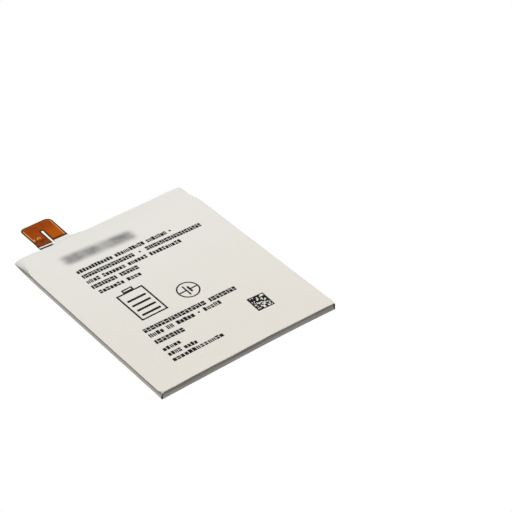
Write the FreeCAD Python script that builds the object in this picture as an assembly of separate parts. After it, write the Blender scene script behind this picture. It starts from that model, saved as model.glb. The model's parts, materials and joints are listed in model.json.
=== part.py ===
"""Phone-size lithium-polymer pouch battery pack with a flexible connector tail.

Millimetres. The origin is the centre of the back face, on the plane that the pack rests on.
X runs across the pack, Y along it towards the tail, and Z up through the printed face.
"""
import FreeCAD, Part
import math
import os

V = FreeCAD.Vector

# Whole pack
WIDTH = 73.1
LENGTH = 87.0
THICKNESS = 3.2
HALF_WIDTH = WIDTH / 2
TAIL_END = LENGTH / 2
FOLD_END = -LENGTH / 2
MIDDLE_Z = THICKNESS / 2

# The pack thins towards the tail end, and most at that end's two corners
RAMP_START = TAIL_END - 7.0
RAMP_DROP = 0.6
PINCH_ACROSS = 12.0
PINCH_ALONG = 9.0
PINCH_DROP = 0.45

# Printed film wrap
FILM = 0.08
FILM_START = FOLD_END + 0.5
FRONT_EDGE_RADIUS = 0.9
BACK_EDGE_RADIUS = 0.45
TURNED_EDGE = 1.2
FLAP_SIDE_GAP = 0.55
WINDOW_LEFT = -29.3
WINDOW_RIGHT = 27.6
WINDOW_BOTTOM = -35.9
WINDOW_TOP = 33.6
SLIT_X = -20.3
SLIT_WIDTH = 0.3
FLEX_SLOT_SIDE_GAP = 0.1
FLEX_SLOT_FACE_GAP = 0.02

# Film tongue over the root of the flex
TONGUE_TOP_Y = TAIL_END + 2.6
TONGUE_BEND_Y = TAIL_END + 1.0
TONGUE_FOOT_LEFT_Y = TAIL_END + 0.9
TONGUE_STEP_Y = TAIL_END + 1.3
TONGUE_RISE = 0.25
TONGUE_LEFT_OVERLAP = 0.1
TONGUE_LEFT_FOOT = 1.6
TONGUE_RIGHT_FOOT = 4.5
TONGUE_RIGHT_WAIST = 1.5
TONGUE_RIGHT_OVERLAP = 0.1
TONGUE_WAIST_RADIUS = 0.6
TONGUE_RIGHT_RADIUS = 0.4
TONGUE_LEFT_RADIUS = 0.3

# Laminate pouch
LAMINATE = 0.12
SEAL_STRIP = 0.24
SEAL_STRIP_BOTTOM = 0.4
SEAL_STRIP_TOP = 2.4
SEAL_STRIP_GAP = 0.03
SEAL_STRIP_START = FOLD_END + 0.15
SEAL_STRIP_SHORT = 1.5
POUCH_HALF_WIDTH = HALF_WIDTH - FILM - SEAL_STRIP - 0.05
POUCH_FOLD_RADIUS = 1.0
POUCH_EDGE_RADIUS = 0.6
POUCH_BACK_RADIUS = 0.3
POUCH_BACK_INNER_RADIUS = 0.2
WINDOW_GAP = 0.1
CHAMBER_END = TAIL_END - 6.6
TERRACE_END = TAIL_END - 0.9
TERRACE_Z = 0.87
TERRACE_SHEET = 0.13
TERRACE_SIDE_GAP = 0.3
TERRACE_END_GAP = 0.2
TERRACE_FACE_GAP = 0.02

# Wound cell inside the pouch
CORE_HALF_GAP = 0.08
ELECTRODE = 0.13
SEPARATOR = 0.05
LAYER_GAP = 0.015
WINDING_PITCH = 2 * (ELECTRODE + SEPARATOR) + 4 * LAYER_GAP
WINDING_CENTRE_X = 34.5
TURNS_EACH_SIDE = 3
SEPARATOR_SPAN = (-41.9, 35.6)
ANODE_SPAN = (-41.5, 35.2)
CATHODE_SPAN = (-41.0, 34.7)
WINDING_TOP = MIDDLE_Z + CORE_HALF_GAP + TURNS_EACH_SIDE * WINDING_PITCH
WINDING_TAPE_X = (-WINDING_CENTRE_X + 0.5, -WINDING_CENTRE_X + 9.5)
WINDING_TAPE_Y = (-32.0, 26.0)
WINDING_TAPE = 0.045
WINDING_TAPE_GAP = 0.005

# Terminal tabs and the protection board on the terrace
TAB = 0.08
TAB_WIDTH = 4.0
POSITIVE_TAB_X = 16.0
NEGATIVE_TAB_X = -4.0
TAB_START_Y = TAIL_END - 33.0
TAB_DIP_Y = (CHAMBER_END - 0.9, CHAMBER_END - 0.2)
TAB_FOLD_Y = TAIL_END - 0.35
TAB_SEAL_WIDTH = 7.0
TAB_SEAL_LENGTH = 4.5
TAB_SEAL_HALF_THICKNESS = 0.07
BOARD_HALF_LENGTH = 28.0
BOARD_CORNER = 0.4
BOARD_Y = (TAIL_END - 5.1, TAIL_END - 0.8)
BOARD_Z = (1.52, 1.92)
PAD_TOP = BOARD_Z[1] + 0.08
PAD_SIDE_MARGIN = 0.5
PAD_Y = (BOARD_Y[0] + 0.8, BOARD_Y[1] - 0.5)
TAB_ON_PAD_Y = BOARD_Y[0] + 1.2

# Components on the board's underside: size along X, along Y, and height
PROTECTION_IC = (2.4, 1.6, 0.38)
SWITCH_TRANSISTOR = (3.0, 2.0, 0.40)
RESISTOR = (0.5, 1.0, 0.33)
CAPACITOR = (0.5, 1.0, 0.36)
THERMISTOR = (0.6, 1.2, 0.36)
THERMAL_FUSE = (4.2, 2.6, 0.40)
PROTECTION_IC_X = 4.0
SWITCH_TRANSISTOR_X = 8.6
RESISTORS_X = (0.4, 1.5, 11.6, 12.7)
CAPACITORS_X = (-8.0, -9.2, 22.0)
THERMISTOR_X = -11.2
THERMAL_FUSE_X = -23.0

# Tapes and foam around the board
TAPE = 0.06
TERRACE_TAPE_HALF_LENGTH = BOARD_HALF_LENGTH - 0.5
TERRACE_TAPE_Y = (CHAMBER_END + 0.5, TERRACE_END - 0.2)
BOARD_TAPE_HALF_LENGTH = BOARD_HALF_LENGTH - 1.5
BOARD_TAPE_Y = (BOARD_Y[0] + 0.1, BOARD_Y[1])
BOARD_TAPE_Z = PAD_TOP + TAB + 0.03
FOAM_HALF_LENGTH = BOARD_HALF_LENGTH - 4.0
FOAM_Y = (BOARD_Y[0] + 0.5, BOARD_Y[1] - 0.6)
FOAM_Z = BOARD_TAPE_Z + TAPE
FOAM = 0.27

# Flexible tail: root leg, bridge and free leg in one flat outline
FLEX_LEFT = -25.0
FLEX_RIGHT = -12.4
FLEX_TOP = TAIL_END + 15.1
FLEX_SLOT_LEFT = -19.15
FLEX_SLOT_RIGHT = -18.45
FLEX_SLOT_TOP_RIGHT = -18.2
FLEX_SLOT_TOP = TAIL_END + 9.9
FLEX_ROOT_START = BOARD_Y[0] + 0.9
FREE_LEG_TIP = TAIL_END + 2.55
LEG_CORNER_Y = TAIL_END + 2.05
FLEX_BASE = (BOARD_Z[1], BOARD_Z[1] + 0.06)
FLEX_COPPER = (FLEX_BASE[1], FLEX_BASE[1] + 0.03)
FLEX_COVER = (FLEX_COPPER[1], FLEX_COPPER[1] + 0.05)
ROOT_BEND = (TAIL_END + 3.8, TAIL_END + 6.2)
LEG_BEND = (TAIL_END + 7.2, TAIL_END + 9.4)
FLEX_TOP_RIGHT_RADIUS = 2.1
FLEX_TOP_LEFT_RADIUS = 1.9
FLEX_TIP_RADIUS = 0.12
SLOT_RADIUS_SHARE = 0.47
ZONE_SPLIT_X = (FLEX_SLOT_LEFT + FLEX_SLOT_RIGHT) / 2
ZONE_MARGIN = 0.1
TRACE_WIDTH = 1.9
OUTER_TRACE_INSET = 0.5
INNER_TRACE_INSET = 2.75
TRACE_START = FLEX_ROOT_START + 0.3
TRACE_TIP = FREE_LEG_TIP + 0.4
TRACE_CORNER = 2.3
TRACE_LEAST_CORNER = 0.4
TRACE_INNER_CORNER = 0.2
STIFFENER = 0.1
STIFFENER_INSET = 0.1
STIFFENER_LENGTH = 3.0
STIFFENER_CORNER = 0.2
TEST_PAD_Y = FREE_LEG_TIP + 4.1
TEST_PADS_X = (FLEX_LEFT + 1.05, FLEX_LEFT + 3.0)
TEST_PAD_HALF_SIZE = (0.4, 0.5)
TEST_PAD_CORNER = 0.15
TEST_PAD = 0.03

# Board-to-board connector under the free leg
CONNECTOR_X = (-24.95, -19.1)
CONNECTOR_Y = (FREE_LEG_TIP - 0.85, FREE_LEG_TIP + 1.5)
CONNECTOR_HEIGHT = 0.8
CONNECTOR_BOTTOM = FLEX_BASE[0] - CONNECTOR_HEIGHT
CONNECTOR_MIDDLE_Y = (CONNECTOR_Y[0] + CONNECTOR_Y[1]) / 2
GROOVE_END_WALL = 0.5
GROOVE_HALF_WIDTH = 0.4
GROOVE_DEPTH = 0.5
CONTACTS_PER_ROW = 4
CONTACT_END_MARGIN = 0.8
CONTACT_HALF_WIDTH = 0.15
CONTACT_NEAR = 0.35
CONTACT_FAR = 0.6
CONTACT_SETBACK = 0.1
CLIP = 0.2
CLIP_SETBACK = 0.3
CLIP_RISE = 0.2
FRONT_CLIP = 0.1
FRONT_CLIP_SETBACK = 0.25
FRONT_CLIP_RISE = 0.35

# Reach of the blocks that cut right through
FAR = 200.0
OVERSHOOT = 1.0
JOIN_LIMIT = 1e-6


def box(x0, x1, y0, y1, z0, z1):
    """Block between two corners."""
    return Part.makeBox(x1 - x0, y1 - y0, z1 - z0, V(x0, y0, z0))


def on_plan(z):
    """Places outline points (u, v) at X, Y on a level z."""
    return lambda u, v: V(u, v, z)


def on_section(y):
    """Places outline points (u, v) at X, Z on the cross-section at y."""
    return lambda u, v: V(u, y, v)


def on_profile(x):
    """Places outline points (u, v) at Y, Z on the side profile at x."""
    return lambda u, v: V(x, u, v)


def rounded_face(corners, place):
    """Flat face from (u, v, radius) corners; a radius of 0 leaves the corner sharp."""
    arcs = []
    for index, (u, v, radius) in enumerate(corners):
        here = V(u, v, 0)
        back = V(corners[index - 1][0], corners[index - 1][1], 0) - here
        ahead_corner = corners[(index + 1) % len(corners)]
        ahead = V(ahead_corner[0], ahead_corner[1], 0) - here
        if radius == 0:
            arcs.append((here, None, here))
            continue
        half_angle = back.getAngle(ahead) / 2
        reach = radius / math.tan(half_angle)
        back.normalize()
        ahead.normalize()
        middle = back + ahead
        middle.normalize()
        crown = here + middle * (radius / math.sin(half_angle) - radius)
        arcs.append((here + back * reach, crown, here + ahead * reach))
    edges = []
    for index, (start, crown, end) in enumerate(arcs):
        previous_end = arcs[index - 1][2]
        if previous_end.distanceToPoint(start) > JOIN_LIMIT:
            edges.append(Part.LineSegment(place(previous_end.x, previous_end.y), place(start.x, start.y)))
        if crown is not None:
            edges.append(Part.Arc(place(start.x, start.y), place(crown.x, crown.y), place(end.x, end.y)))
    return Part.Face(Part.Wire([edge.toShape() for edge in edges]))


def sharp(points):
    """Corners with no rounding."""
    return [(u, v, 0) for u, v in points]


def strip_corners(path, thickness):
    """Outline of a bent strip of even thickness along a (u, v) centre line."""
    half = thickness / 2
    left = []
    right = []
    for index, (u, v) in enumerate(path):
        here = V(u, v, 0)
        before = V(*path[max(index - 1, 0)], 0)
        after = V(*path[min(index + 1, len(path) - 1)], 0)
        into = here - before if index > 0 else after - here
        out = after - here if index < len(path) - 1 else here - before
        into.normalize()
        out.normalize()
        along = into + out
        along.normalize()
        side = V(-along.y, along.x, 0) * (half / along.dot(into))
        left.append((u + side.x, v + side.y))
        right.append((u - side.x, v - side.y))
    return left + right[::-1]


def beyond(points):
    """Large block on the outer side of the plane through three points, seen anticlockwise."""
    first, second, third = points
    normal = (second - first).cross(third - first)
    block = box(-FAR, FAR, -FAR, FAR, 0, FAR)
    block.Placement = FreeCAD.Placement(first, FreeCAD.Rotation(V(0, 0, 1), normal))
    return block


def pinch_blocks(inset):
    """Material taken off the two tail-end corners, front and back."""
    blocks = []
    for side in (-1, 1):
        edge_x = side * HALF_WIDTH
        inner_x = side * (HALF_WIDTH - PINCH_ACROSS)
        for face in (-1, 1):
            level = MIDDLE_Z + face * (MIDDLE_Z - inset)
            inner = V(inner_x, TAIL_END, level - face * RAMP_DROP)
            start = V(edge_x, TAIL_END - PINCH_ALONG, level)
            corner = V(edge_x, TAIL_END, level - face * (RAMP_DROP + PINCH_DROP))
            order = (inner, start, corner) if side * face > 0 else (inner, corner, start)
            blocks.append(beyond(order))
    return blocks


def pack_form(half_width, y_start, y_end, inset, front_radius, back_radius, end_radius):
    """Solid of the pack's outer form, set in by inset from the front and back faces."""
    low = inset
    high = THICKNESS - inset
    section = rounded_face([(-half_width, low, back_radius), (half_width, low, back_radius),
                            (half_width, high, front_radius), (-half_width, high, front_radius)],
                           on_section(y_start))
    across = section.extrude(V(0, y_end - y_start, 0))
    drop = RAMP_DROP * (y_end - RAMP_START) / (TAIL_END - RAMP_START)
    profile = rounded_face([(y_start, low, end_radius), (RAMP_START, low, 0), (y_end, low + drop, 0),
                            (y_end, high - drop, 0), (RAMP_START, high, 0), (y_start, high, end_radius)],
                           on_profile(-half_width))
    along = profile.extrude(V(2 * half_width, 0, 0))
    form = across.common(along)
    for block in pinch_blocks(inset):
        form = form.cut(block)
    return form


def film_outer():
    """Outer surface of the printed wrap."""
    return pack_form(HALF_WIDTH, FILM_START, TAIL_END, 0, FRONT_EDGE_RADIUS, BACK_EDGE_RADIUS, 0)


def film_inner():
    """Inner surface of the printed wrap, open at the fold end."""
    return pack_form(HALF_WIDTH - FILM, FILM_START - OVERSHOOT, TAIL_END - FILM, FILM,
                     FRONT_EDGE_RADIUS - FILM, BACK_EDGE_RADIUS - FILM, 0)


def film_shell():
    """Whole wrap before it is divided into its pieces."""
    return film_outer().cut(film_inner())


def front_label():
    """Printed face, both side walls, the end wall and the narrow edges turned on to the back."""
    turned_x = HALF_WIDTH - TURNED_EDGE
    flap_x = HALF_WIDTH - FLAP_SIDE_GAP
    back = box(-turned_x, turned_x, FOLD_END - OVERSHOOT, WINDOW_TOP, -OVERSHOOT, MIDDLE_Z)
    flaps = box(-flap_x, turned_x, WINDOW_TOP, TAIL_END - FILM, -OVERSHOOT, MIDDLE_Z)
    root_slot = box(FLEX_SLOT_RIGHT - FLEX_SLOT_SIDE_GAP, FLEX_RIGHT + FLEX_SLOT_SIDE_GAP,
                    TAIL_END - OVERSHOOT, TAIL_END + OVERSHOOT,
                    FLEX_BASE[0] - FLEX_SLOT_FACE_GAP, FLEX_COVER[1] + FLEX_SLOT_FACE_GAP)
    return film_shell().cut(back).cut(flaps).cut(root_slot)


def back_film(x0, x1, y0, y1):
    """One rectangle of the film on the back face."""
    return film_shell().common(box(x0, x1, y0, y1, -OVERSHOOT, MIDDLE_Z))


def back_strip_left():
    return back_film(-(HALF_WIDTH - TURNED_EDGE), WINDOW_LEFT, FILM_START, WINDOW_TOP)


def back_strip_right():
    return back_film(WINDOW_RIGHT, HALF_WIDTH - TURNED_EDGE, FILM_START, WINDOW_TOP)


def back_strip_bottom():
    return back_film(WINDOW_LEFT, WINDOW_RIGHT, FILM_START, WINDOW_BOTTOM)


def end_flap_narrow():
    return back_film(-(HALF_WIDTH - FLAP_SIDE_GAP), SLIT_X - SLIT_WIDTH / 2, WINDOW_TOP, TAIL_END - FILM)


def end_flap_wide():
    return back_film(SLIT_X + SLIT_WIDTH / 2, HALF_WIDTH - TURNED_EDGE, WINDOW_TOP, TAIL_END - FILM)


def tongue_outline(left, foot_left, foot_right):
    """Plan of the film tongue, wide at its foot along the pack's end and narrow over the flex."""
    return [(foot_left, TAIL_END, 0), (foot_right, TAIL_END, 0),
            (FLEX_RIGHT + TONGUE_RIGHT_WAIST, TONGUE_BEND_Y, TONGUE_WAIST_RADIUS),
            (FLEX_RIGHT + TONGUE_RIGHT_OVERLAP, TONGUE_TOP_Y, TONGUE_RIGHT_RADIUS),
            (left, TONGUE_TOP_Y, TONGUE_LEFT_RADIUS), (left, TONGUE_STEP_Y, 0),
            (foot_left, TONGUE_FOOT_LEFT_Y, TONGUE_LEFT_RADIUS)]


def root_tape():
    """Film tongue that holds the root leg of the flex where it leaves the pack."""
    level = FLEX_COVER[1] + FLEX_SLOT_FACE_GAP / 2 + FILM / 2
    path = [(TAIL_END + FLEX_SLOT_FACE_GAP, level + TONGUE_RISE), (TONGUE_BEND_Y, level),
            (TONGUE_TOP_Y + OVERSHOOT, level)]
    left = FLEX_SLOT_RIGHT - TONGUE_LEFT_OVERLAP
    foot_left = left - TONGUE_LEFT_FOOT
    foot_right = FLEX_RIGHT + TONGUE_RIGHT_FOOT
    face = rounded_face(sharp(strip_corners(path, FILM)), on_profile(foot_left))
    strip = face.extrude(V(foot_right - foot_left, 0, 0))
    plan = rounded_face(tongue_outline(left, foot_left, foot_right), on_plan(level - OVERSHOOT))
    return strip.common(plan.extrude(V(0, 0, 2 * OVERSHOOT)))


def pouch_outer():
    """Outer surface of the laminate pouch around the wound cell."""
    return pack_form(POUCH_HALF_WIDTH, FOLD_END, CHAMBER_END + LAMINATE, FILM, POUCH_EDGE_RADIUS + FILM,
                     POUCH_BACK_RADIUS, POUCH_FOLD_RADIUS)


def pouch_inner():
    """Inner surface of the laminate pouch."""
    return pack_form(POUCH_HALF_WIDTH - LAMINATE, FOLD_END + LAMINATE, CHAMBER_END, FILM + LAMINATE,
                     POUCH_EDGE_RADIUS, POUCH_BACK_INNER_RADIUS, POUCH_FOLD_RADIUS - LAMINATE)


def terrace(z0, z1):
    """One sheet of the sealed terrace beyond the chamber, with pockets for the tabs and their seals."""
    half_width = POUCH_HALF_WIDTH - TERRACE_SIDE_GAP
    sheet = box(-half_width, half_width, CHAMBER_END + LAMINATE, TERRACE_END, z0, z1)
    room = pack_form(HALF_WIDTH - TERRACE_SIDE_GAP, FILM_START, TAIL_END - TERRACE_END_GAP,
                     FILM + TERRACE_FACE_GAP, FRONT_EDGE_RADIUS, BACK_EDGE_RADIUS, 0)
    return sheet.common(room)


def tab_pockets():
    """Space in the terrace and the chamber's end wall for the two tabs and their seals."""
    pockets = tab_seal_block(POSITIVE_TAB_X).fuse(tab_seal_block(NEGATIVE_TAB_X))
    for x in (POSITIVE_TAB_X, NEGATIVE_TAB_X):
        half = TAB_WIDTH / 2
        pockets = pockets.fuse(box(x - half, x + half, CHAMBER_END - OVERSHOOT, TAIL_END,
                                   TERRACE_Z - TAB / 2, TERRACE_Z + TAB / 2))
    return pockets


def pouch_cup():
    """Drawn half of the laminate pouch: printed side, walls, folded end and upper terrace sheet."""
    shell = pouch_outer().cut(pouch_inner())
    drawn = shell.common(box(-FAR, FAR, -FAR, FAR, FILM + LAMINATE, FAR))
    upper_wall = drawn.cut(box(-FAR, FAR, CHAMBER_END, FAR, -OVERSHOOT, TERRACE_Z))
    upper = upper_wall.fuse(terrace(TERRACE_Z, TERRACE_Z + TERRACE_SHEET))
    return upper.cut(tab_pockets()).removeSplitter()


def window_panel():
    """Part of the back sheet that fills the film's window, level with the film around it."""
    return box(WINDOW_LEFT + WINDOW_GAP, WINDOW_RIGHT - WINDOW_GAP,
               WINDOW_BOTTOM + WINDOW_GAP, WINDOW_TOP - WINDOW_GAP, 0, FILM + LAMINATE / 2)


def pouch_lid():
    """Flat half of the laminate pouch: back sheet, its step and the lower terrace sheet."""
    shell = pouch_outer().cut(pouch_inner())
    sheet = shell.common(box(-FAR, FAR, -FAR, FAR, -OVERSHOOT, FILM + LAMINATE)).fuse(window_panel())
    step = shell.common(box(-FAR, FAR, CHAMBER_END, FAR, FILM + LAMINATE, TERRACE_Z))
    lower = terrace(TERRACE_Z - TERRACE_SHEET, TERRACE_Z)
    return sheet.fuse(step).fuse(lower).cut(tab_pockets()).removeSplitter()


def side_seal(side):
    """Sealed laminate edge folded up against one long wall of the pouch."""
    inner = POUCH_HALF_WIDTH + SEAL_STRIP_GAP
    outer = inner + SEAL_STRIP
    x0, x1 = (inner, outer) if side > 0 else (-outer, -inner)
    return box(x0, x1, SEAL_STRIP_START, CHAMBER_END - SEAL_STRIP_SHORT, SEAL_STRIP_BOTTOM, SEAL_STRIP_TOP)


def side_seal_left():
    return side_seal(-1)


def side_seal_right():
    return side_seal(1)


def spiral_run(distance):
    """Edges of one flattened spiral line that starts at the core, seen along the winding axis."""
    left_centre = MIDDLE_Z - WINDING_PITCH / 2
    edges = []
    for turn in range(TURNS_EACH_SIDE):
        radius = distance + turn * WINDING_PITCH
        bottom = MIDDLE_Z - radius
        top = MIDDLE_Z + radius
        right_x = WINDING_CENTRE_X
        edges.append(Part.LineSegment(V(-right_x, 0, bottom), V(right_x, 0, bottom)))
        edges.append(Part.Arc(V(right_x, 0, bottom), V(right_x + radius, 0, MIDDLE_Z), V(right_x, 0, top)))
        edges.append(Part.LineSegment(V(right_x, 0, top), V(-right_x, 0, top)))
        if turn < TURNS_EACH_SIDE - 1:
            left_radius = radius + WINDING_PITCH / 2
            edges.append(Part.Arc(V(-right_x, 0, top), V(-right_x - left_radius, 0, left_centre),
                                  V(-right_x, 0, bottom - WINDING_PITCH)))
    return edges


def wound_band(layer_offset, thickness, span):
    """One continuous wound layer between two spiral lines."""
    inner = spiral_run(CORE_HALF_GAP + layer_offset)
    outer = spiral_run(CORE_HALF_GAP + layer_offset + thickness)
    start_cap = Part.LineSegment(outer[0].StartPoint, inner[0].StartPoint)
    end_cap = Part.LineSegment(inner[-1].EndPoint, outer[-1].EndPoint)
    outline = [edge.toShape() for edge in inner + [end_cap] + outer + [start_cap]]
    face = Part.Face(Part.Wire(Part.sortEdges(outline)[0]))
    face.translate(V(0, span[0], 0))
    return face.extrude(V(0, span[1] - span[0], 0))


def cathode():
    return wound_band(0, ELECTRODE, CATHODE_SPAN)


def separator_inner():
    return wound_band(ELECTRODE + LAYER_GAP, SEPARATOR, SEPARATOR_SPAN)


def anode():
    return wound_band(ELECTRODE + SEPARATOR + 2 * LAYER_GAP, ELECTRODE, ANODE_SPAN)


def separator_outer():
    return wound_band(2 * ELECTRODE + SEPARATOR + 3 * LAYER_GAP, SEPARATOR, SEPARATOR_SPAN)


def winding_tape():
    """Tape that stops the outer end of the winding from opening."""
    z0 = WINDING_TOP + WINDING_TAPE_GAP
    return box(*WINDING_TAPE_X, *WINDING_TAPE_Y, z0, z0 + WINDING_TAPE)


def terminal_tab(x):
    """Tab from the winding's core, through the terrace seal and folded over the board's edge."""
    pad_z = PAD_TOP + TAB / 2
    path = [(TAB_START_Y, MIDDLE_Z), (TAB_DIP_Y[0], MIDDLE_Z), (TAB_DIP_Y[1], TERRACE_Z),
            (TAB_FOLD_Y, TERRACE_Z), (TAB_FOLD_Y, pad_z), (TAB_ON_PAD_Y, pad_z)]
    face = rounded_face(sharp(strip_corners(path, TAB)), on_profile(x - TAB_WIDTH / 2))
    return face.extrude(V(TAB_WIDTH, 0, 0))


def positive_tab():
    return terminal_tab(POSITIVE_TAB_X)


def negative_tab():
    return terminal_tab(NEGATIVE_TAB_X)


def tab_seal_block(x):
    """Outer form of the polymer seal around one tab."""
    half = TAB_SEAL_WIDTH / 2
    return box(x - half, x + half, CHAMBER_END, CHAMBER_END + TAB_SEAL_LENGTH,
               TERRACE_Z - TAB_SEAL_HALF_THICKNESS, TERRACE_Z + TAB_SEAL_HALF_THICKNESS)


def tab_seals():
    """Two polymer sleeves melted into the terrace around the tabs."""
    sleeves = []
    for x, tab in ((POSITIVE_TAB_X, positive_tab()), (NEGATIVE_TAB_X, negative_tab())):
        sleeves.append(tab_seal_block(x).cut(tab))
    return Part.makeCompound(sleeves)


def protection_board():
    """Narrow circuit board that stands on the terrace."""
    corners = [(-BOARD_HALF_LENGTH, BOARD_Y[0], BOARD_CORNER), (BOARD_HALF_LENGTH, BOARD_Y[0], BOARD_CORNER),
               (BOARD_HALF_LENGTH, BOARD_Y[1], BOARD_CORNER), (-BOARD_HALF_LENGTH, BOARD_Y[1], BOARD_CORNER)]
    return rounded_face(corners, on_plan(BOARD_Z[0])).extrude(V(0, 0, BOARD_Z[1] - BOARD_Z[0]))


def weld_pads():
    """Two nickel pads on the board that the tabs are welded to."""
    half = TAB_WIDTH / 2 + PAD_SIDE_MARGIN
    pads = [box(x - half, x + half, PAD_Y[0], PAD_Y[1], BOARD_Z[1], PAD_TOP)
            for x in (POSITIVE_TAB_X, NEGATIVE_TAB_X)]
    return Part.makeCompound(pads)


def chip(x, size):
    """Component hanging from the board's underside, centred across the board."""
    length, width, height = size
    y = (BOARD_Y[0] + BOARD_Y[1]) / 2
    return box(x - length / 2, x + length / 2, y - width / 2, y + width / 2, BOARD_Z[0] - height, BOARD_Z[0])


def protection_ic():
    return chip(PROTECTION_IC_X, PROTECTION_IC)


def switch_transistor():
    return chip(SWITCH_TRANSISTOR_X, SWITCH_TRANSISTOR)


def resistors():
    return Part.makeCompound([chip(x, RESISTOR) for x in RESISTORS_X])


def capacitors():
    return Part.makeCompound([chip(x, CAPACITOR) for x in CAPACITORS_X])


def thermistor():
    return chip(THERMISTOR_X, THERMISTOR)


def thermal_fuse():
    return chip(THERMAL_FUSE_X, THERMAL_FUSE)


def terrace_tape():
    """Insulating tape between the terrace and the board's components."""
    z0 = TERRACE_Z + TERRACE_SHEET
    return box(-TERRACE_TAPE_HALF_LENGTH, TERRACE_TAPE_HALF_LENGTH, *TERRACE_TAPE_Y, z0, z0 + TAPE)


def board_tape():
    """Insulating tape over the board, the tabs and the flex's solder pads."""
    return box(-BOARD_TAPE_HALF_LENGTH, BOARD_TAPE_HALF_LENGTH, *BOARD_TAPE_Y,
               BOARD_TAPE_Z, BOARD_TAPE_Z + TAPE)


def foam_strip():
    """Foam that fills the space between the taped board and the wrap."""
    return box(-FOAM_HALF_LENGTH, FOAM_HALF_LENGTH, *FOAM_Y, FOAM_Z, FOAM_Z + FOAM)


def flex_outline():
    """Flat outline of the flexible circuit, with the slot between its two legs."""
    slot_radius = (FLEX_SLOT_TOP_RIGHT - FLEX_SLOT_LEFT) * SLOT_RADIUS_SHARE
    return [(FLEX_LEFT, FREE_LEG_TIP, FLEX_TIP_RADIUS), (FLEX_SLOT_LEFT, LEG_CORNER_Y, FLEX_TIP_RADIUS),
            (FLEX_SLOT_LEFT, FLEX_SLOT_TOP, slot_radius), (FLEX_SLOT_TOP_RIGHT, FLEX_SLOT_TOP, slot_radius),
            (FLEX_SLOT_RIGHT, ROOT_BEND[1], 0),
            (FLEX_SLOT_RIGHT, FLEX_ROOT_START, 0), (FLEX_RIGHT, FLEX_ROOT_START, 0),
            (FLEX_RIGHT, FLEX_TOP, FLEX_TOP_RIGHT_RADIUS), (FLEX_LEFT, FLEX_TOP, FLEX_TOP_LEFT_RADIUS)]


def trace_outline(inset):
    """One copper path that follows the flex from its root to the connector."""
    inner = inset + TRACE_WIDTH
    radius = max(TRACE_CORNER - inset, TRACE_LEAST_CORNER)
    return [(FLEX_RIGHT - inset, TRACE_START, 0), (FLEX_RIGHT - inset, FLEX_TOP - inset, radius),
            (FLEX_LEFT + inset, FLEX_TOP - inset, radius), (FLEX_LEFT + inset, TRACE_TIP, 0),
            (FLEX_LEFT + inner, TRACE_TIP, 0), (FLEX_LEFT + inner, FLEX_TOP - inner, TRACE_INNER_CORNER),
            (FLEX_RIGHT - inner, FLEX_TOP - inner, TRACE_INNER_CORNER), (FLEX_RIGHT - inner, TRACE_START, 0)]


def flex_layer(levels):
    """Full outline of the flex between two levels."""
    return rounded_face(flex_outline(), on_plan(levels[0])).extrude(V(0, 0, levels[1] - levels[0]))


def copper_layer():
    """Both copper paths, whole."""
    paths = [rounded_face(trace_outline(inset), on_plan(FLEX_COPPER[0])).extrude(
        V(0, 0, FLEX_COPPER[1] - FLEX_COPPER[0])) for inset in (OUTER_TRACE_INSET, INNER_TRACE_INSET)]
    return Part.makeCompound(paths)


def root_zone():
    """Space of the tail's root, up to its first bend."""
    return box(ZONE_SPLIT_X, FLEX_RIGHT + ZONE_MARGIN, FLEX_ROOT_START - ZONE_MARGIN, ROOT_BEND[0], 0, THICKNESS)


def leg_zone():
    """Space of the free leg, from its tip to the second bend."""
    return box(FLEX_LEFT - ZONE_MARGIN, ZONE_SPLIT_X, LEG_CORNER_Y - ZONE_MARGIN, LEG_BEND[0], 0, THICKNESS)


def bridge_zone():
    """Space of the bridge between the two bends."""
    right = box(ZONE_SPLIT_X, FLEX_RIGHT + ZONE_MARGIN, ROOT_BEND[1], FLEX_TOP + ZONE_MARGIN, 0, THICKNESS)
    left = box(FLEX_LEFT - ZONE_MARGIN, ZONE_SPLIT_X, LEG_BEND[1], FLEX_TOP + ZONE_MARGIN, 0, THICKNESS)
    return right.fuse(left).removeSplitter()


def flex_base_root():
    return flex_layer(FLEX_BASE).common(root_zone())


def flex_base_bridge():
    return flex_layer(FLEX_BASE).common(bridge_zone())


def flex_base_leg():
    return flex_layer(FLEX_BASE).common(leg_zone())


def flex_copper_root():
    return copper_layer().common(root_zone())


def flex_copper_bridge():
    return copper_layer().common(bridge_zone())


def flex_copper_leg():
    return copper_layer().common(leg_zone())


def flex_cover_root():
    return flex_layer(FLEX_COVER).common(root_zone())


def flex_cover_bridge():
    return flex_layer(FLEX_COVER).common(bridge_zone())


def flex_cover_leg():
    return flex_layer(FLEX_COVER).common(leg_zone())


def flex_root_bend():
    """Stretch of the root leg, through its whole thickness, that bends."""
    return box(FLEX_SLOT_RIGHT, FLEX_RIGHT, ROOT_BEND[0], ROOT_BEND[1], FLEX_BASE[0], FLEX_COVER[1])


def flex_leg_bend():
    """Stretch of the free leg, through its whole thickness, that bends."""
    return box(FLEX_LEFT, FLEX_SLOT_LEFT, LEG_BEND[0], LEG_BEND[1], FLEX_BASE[0], FLEX_COVER[1])


def tip_stiffener():
    """Patch that keeps the free leg flat above the connector."""
    left = FLEX_LEFT + STIFFENER_INSET
    near = FREE_LEG_TIP + STIFFENER_INSET
    far = near + STIFFENER_LENGTH
    corners = [(left, near, STIFFENER_CORNER),
               (FLEX_SLOT_LEFT - STIFFENER_INSET, LEG_CORNER_Y + STIFFENER_INSET, STIFFENER_CORNER),
               (FLEX_SLOT_LEFT - STIFFENER_INSET, far, STIFFENER_CORNER), (left, far, STIFFENER_CORNER)]
    return rounded_face(corners, on_plan(FLEX_COVER[1])).extrude(V(0, 0, STIFFENER))


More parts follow.
